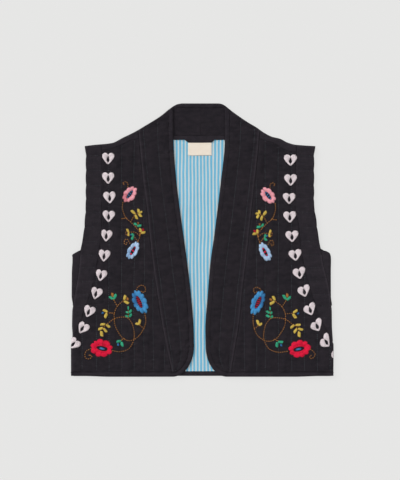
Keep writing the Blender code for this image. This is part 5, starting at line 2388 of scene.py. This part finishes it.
@dataclass
class Vest:
    """The whole vest: its cloth first, then all that is sewn on it."""

    binding_step: float = 1.7
    neck_fillet: float = 8.0
    black: Material = field(init=False)
    tape: Material = field(init=False)
    stripes: Material = field(init=False)
    cream: Material = field(init=False)
    threads: dict[str, Material] = field(init=False)

    def finishes(self) -> None:
        """Makes the finishes."""
        weave, ply, crinkle = weave_group(), ply_group(), crinkle_group()
        black = Cotton("black_cotton", (0.012, 0.011, 0.0145), (0.029, 0.0235, 0.0295))
        self.black = black.material(weave, crinkle)
        tape = Cotton("black_binding", (0.0155, 0.0135, 0.0175), (0.035, 0.029, 0.0365), threads=1700.0)
        self.tape = tape.material(weave, crinkle)
        stripes = StripedCotton("striped_lining", (0.56, 0.66, 0.69), (0.70, 0.79, 0.80), sheen=0.0)
        self.stripes = stripes.material(weave)
        cream = "cream_tape", (0.95, 0.83, 0.70), (1.0, 0.90, 0.78)
        self.cream = Cotton(*cream, threads=2000.0, crinkle_depth=0.0003).material(weave, crinkle)
        self.threads = {thread.name: thread.material(ply) for thread in THREADS}

    def back(self) -> None:
        """Builds the back, its lining, its hem and the small pieces at the neck."""
        back = BackBody()
        back.shell(self.black)
        back.lining(self.stripes)
        for side in Side:
            back.wrap(side, self.black)
        NeckTrim().make(self.tape, self.cream)
        hem_y = CUT.hem_back_y
        across = np.linspace(*(CUT.side_x(side, hem_y) for side in Side), 240)
        hem = [np.column_stack([across, np.full(240, hem_y + inset)]) for inset in (0.0, CUT.binding_width)]
        EdgeBinding("back_hem_binding_tape", "back_hem_binding", 0.0, 4.5, 15.0).make(*hem, self.tape)
        self.neck_binding()

    def neck_binding(self) -> None:
        """Builds the binding of the back neck, rounded into the front edges at both ends."""
        ends = [float(CUT.opening_x(side, NECK_Y, 0.0)) + side.value * 0.2 for side in Side]
        across = np.linspace(*ends, 110)
        folds = np.where(across < 0, CUT.fold_y(Side.LEFT, across), CUT.fold_y(Side.RIGHT, across))
        top = np.minimum(CUT.neck_top_y, folds)
        fillet = self.neck_fillet
        from_end = np.clip(fillet - np.minimum(across - ends[0], ends[1] - across), 0, fillet)
        drop = fillet - np.sqrt(fillet**2 - from_end**2)
        low = np.minimum(CUT.neck_top_y - CUT.binding_width - drop, top - 1.0)
        edges = np.column_stack([across, top]), np.column_stack([across, low])
        binding = EdgeBinding("back_neck_binding_tape", "back_neck_binding", 0.0, 5.2, 25.0, 0.2)
        binding.make(*edges, self.tape)

    def front(self, side: Side) -> None:
        """Builds one front with its band, strip, binding and all its stitches.

        Args:
            side: The side.
        """
        body = FrontBody(side).make(self.black)
        band = NeckBand(side)
        band_front = band.front(self.black)
        band.back(self.black)
        strip = ArmholeStrip(side).make(self.black)
        name = f"front_binding_{side.word}"
        paths = [CUT.front_path(side, inset, self.binding_step) for inset in (0.0, CUT.binding_width)]
        binding = EdgeBinding(f"{name}_tape", name, 4.6, 8.4, 5.0 + side.value)
        binding.make(*paths, self.tape, folded_end=True)
        sewing = Sewing(Ground([body, band_front, strip]))
        Quilting(side).make(Sewing(sewing.ground, rings=3, sides=4), self.threads["quilting_thread"])
        Hearts(side).make(sewing, self.threads["pale_pink_thread"])
        Garland(side).make(sewing, self.threads)


def main() -> None:
    """Builds the vest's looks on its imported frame."""
    logging.basicConfig(level=logging.INFO, format="%(name)s: %(message)s")
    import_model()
    bpy.ops.object.select_all(action="DESELECT")
    vest = Vest()
    vest.finishes()
    vest.back()
    for side in Side:
        vest.front(side)
    studio = Studio()
    studio.floor()
    studio.light()
    studio.camera()


if __name__ == "__main__":
    main()
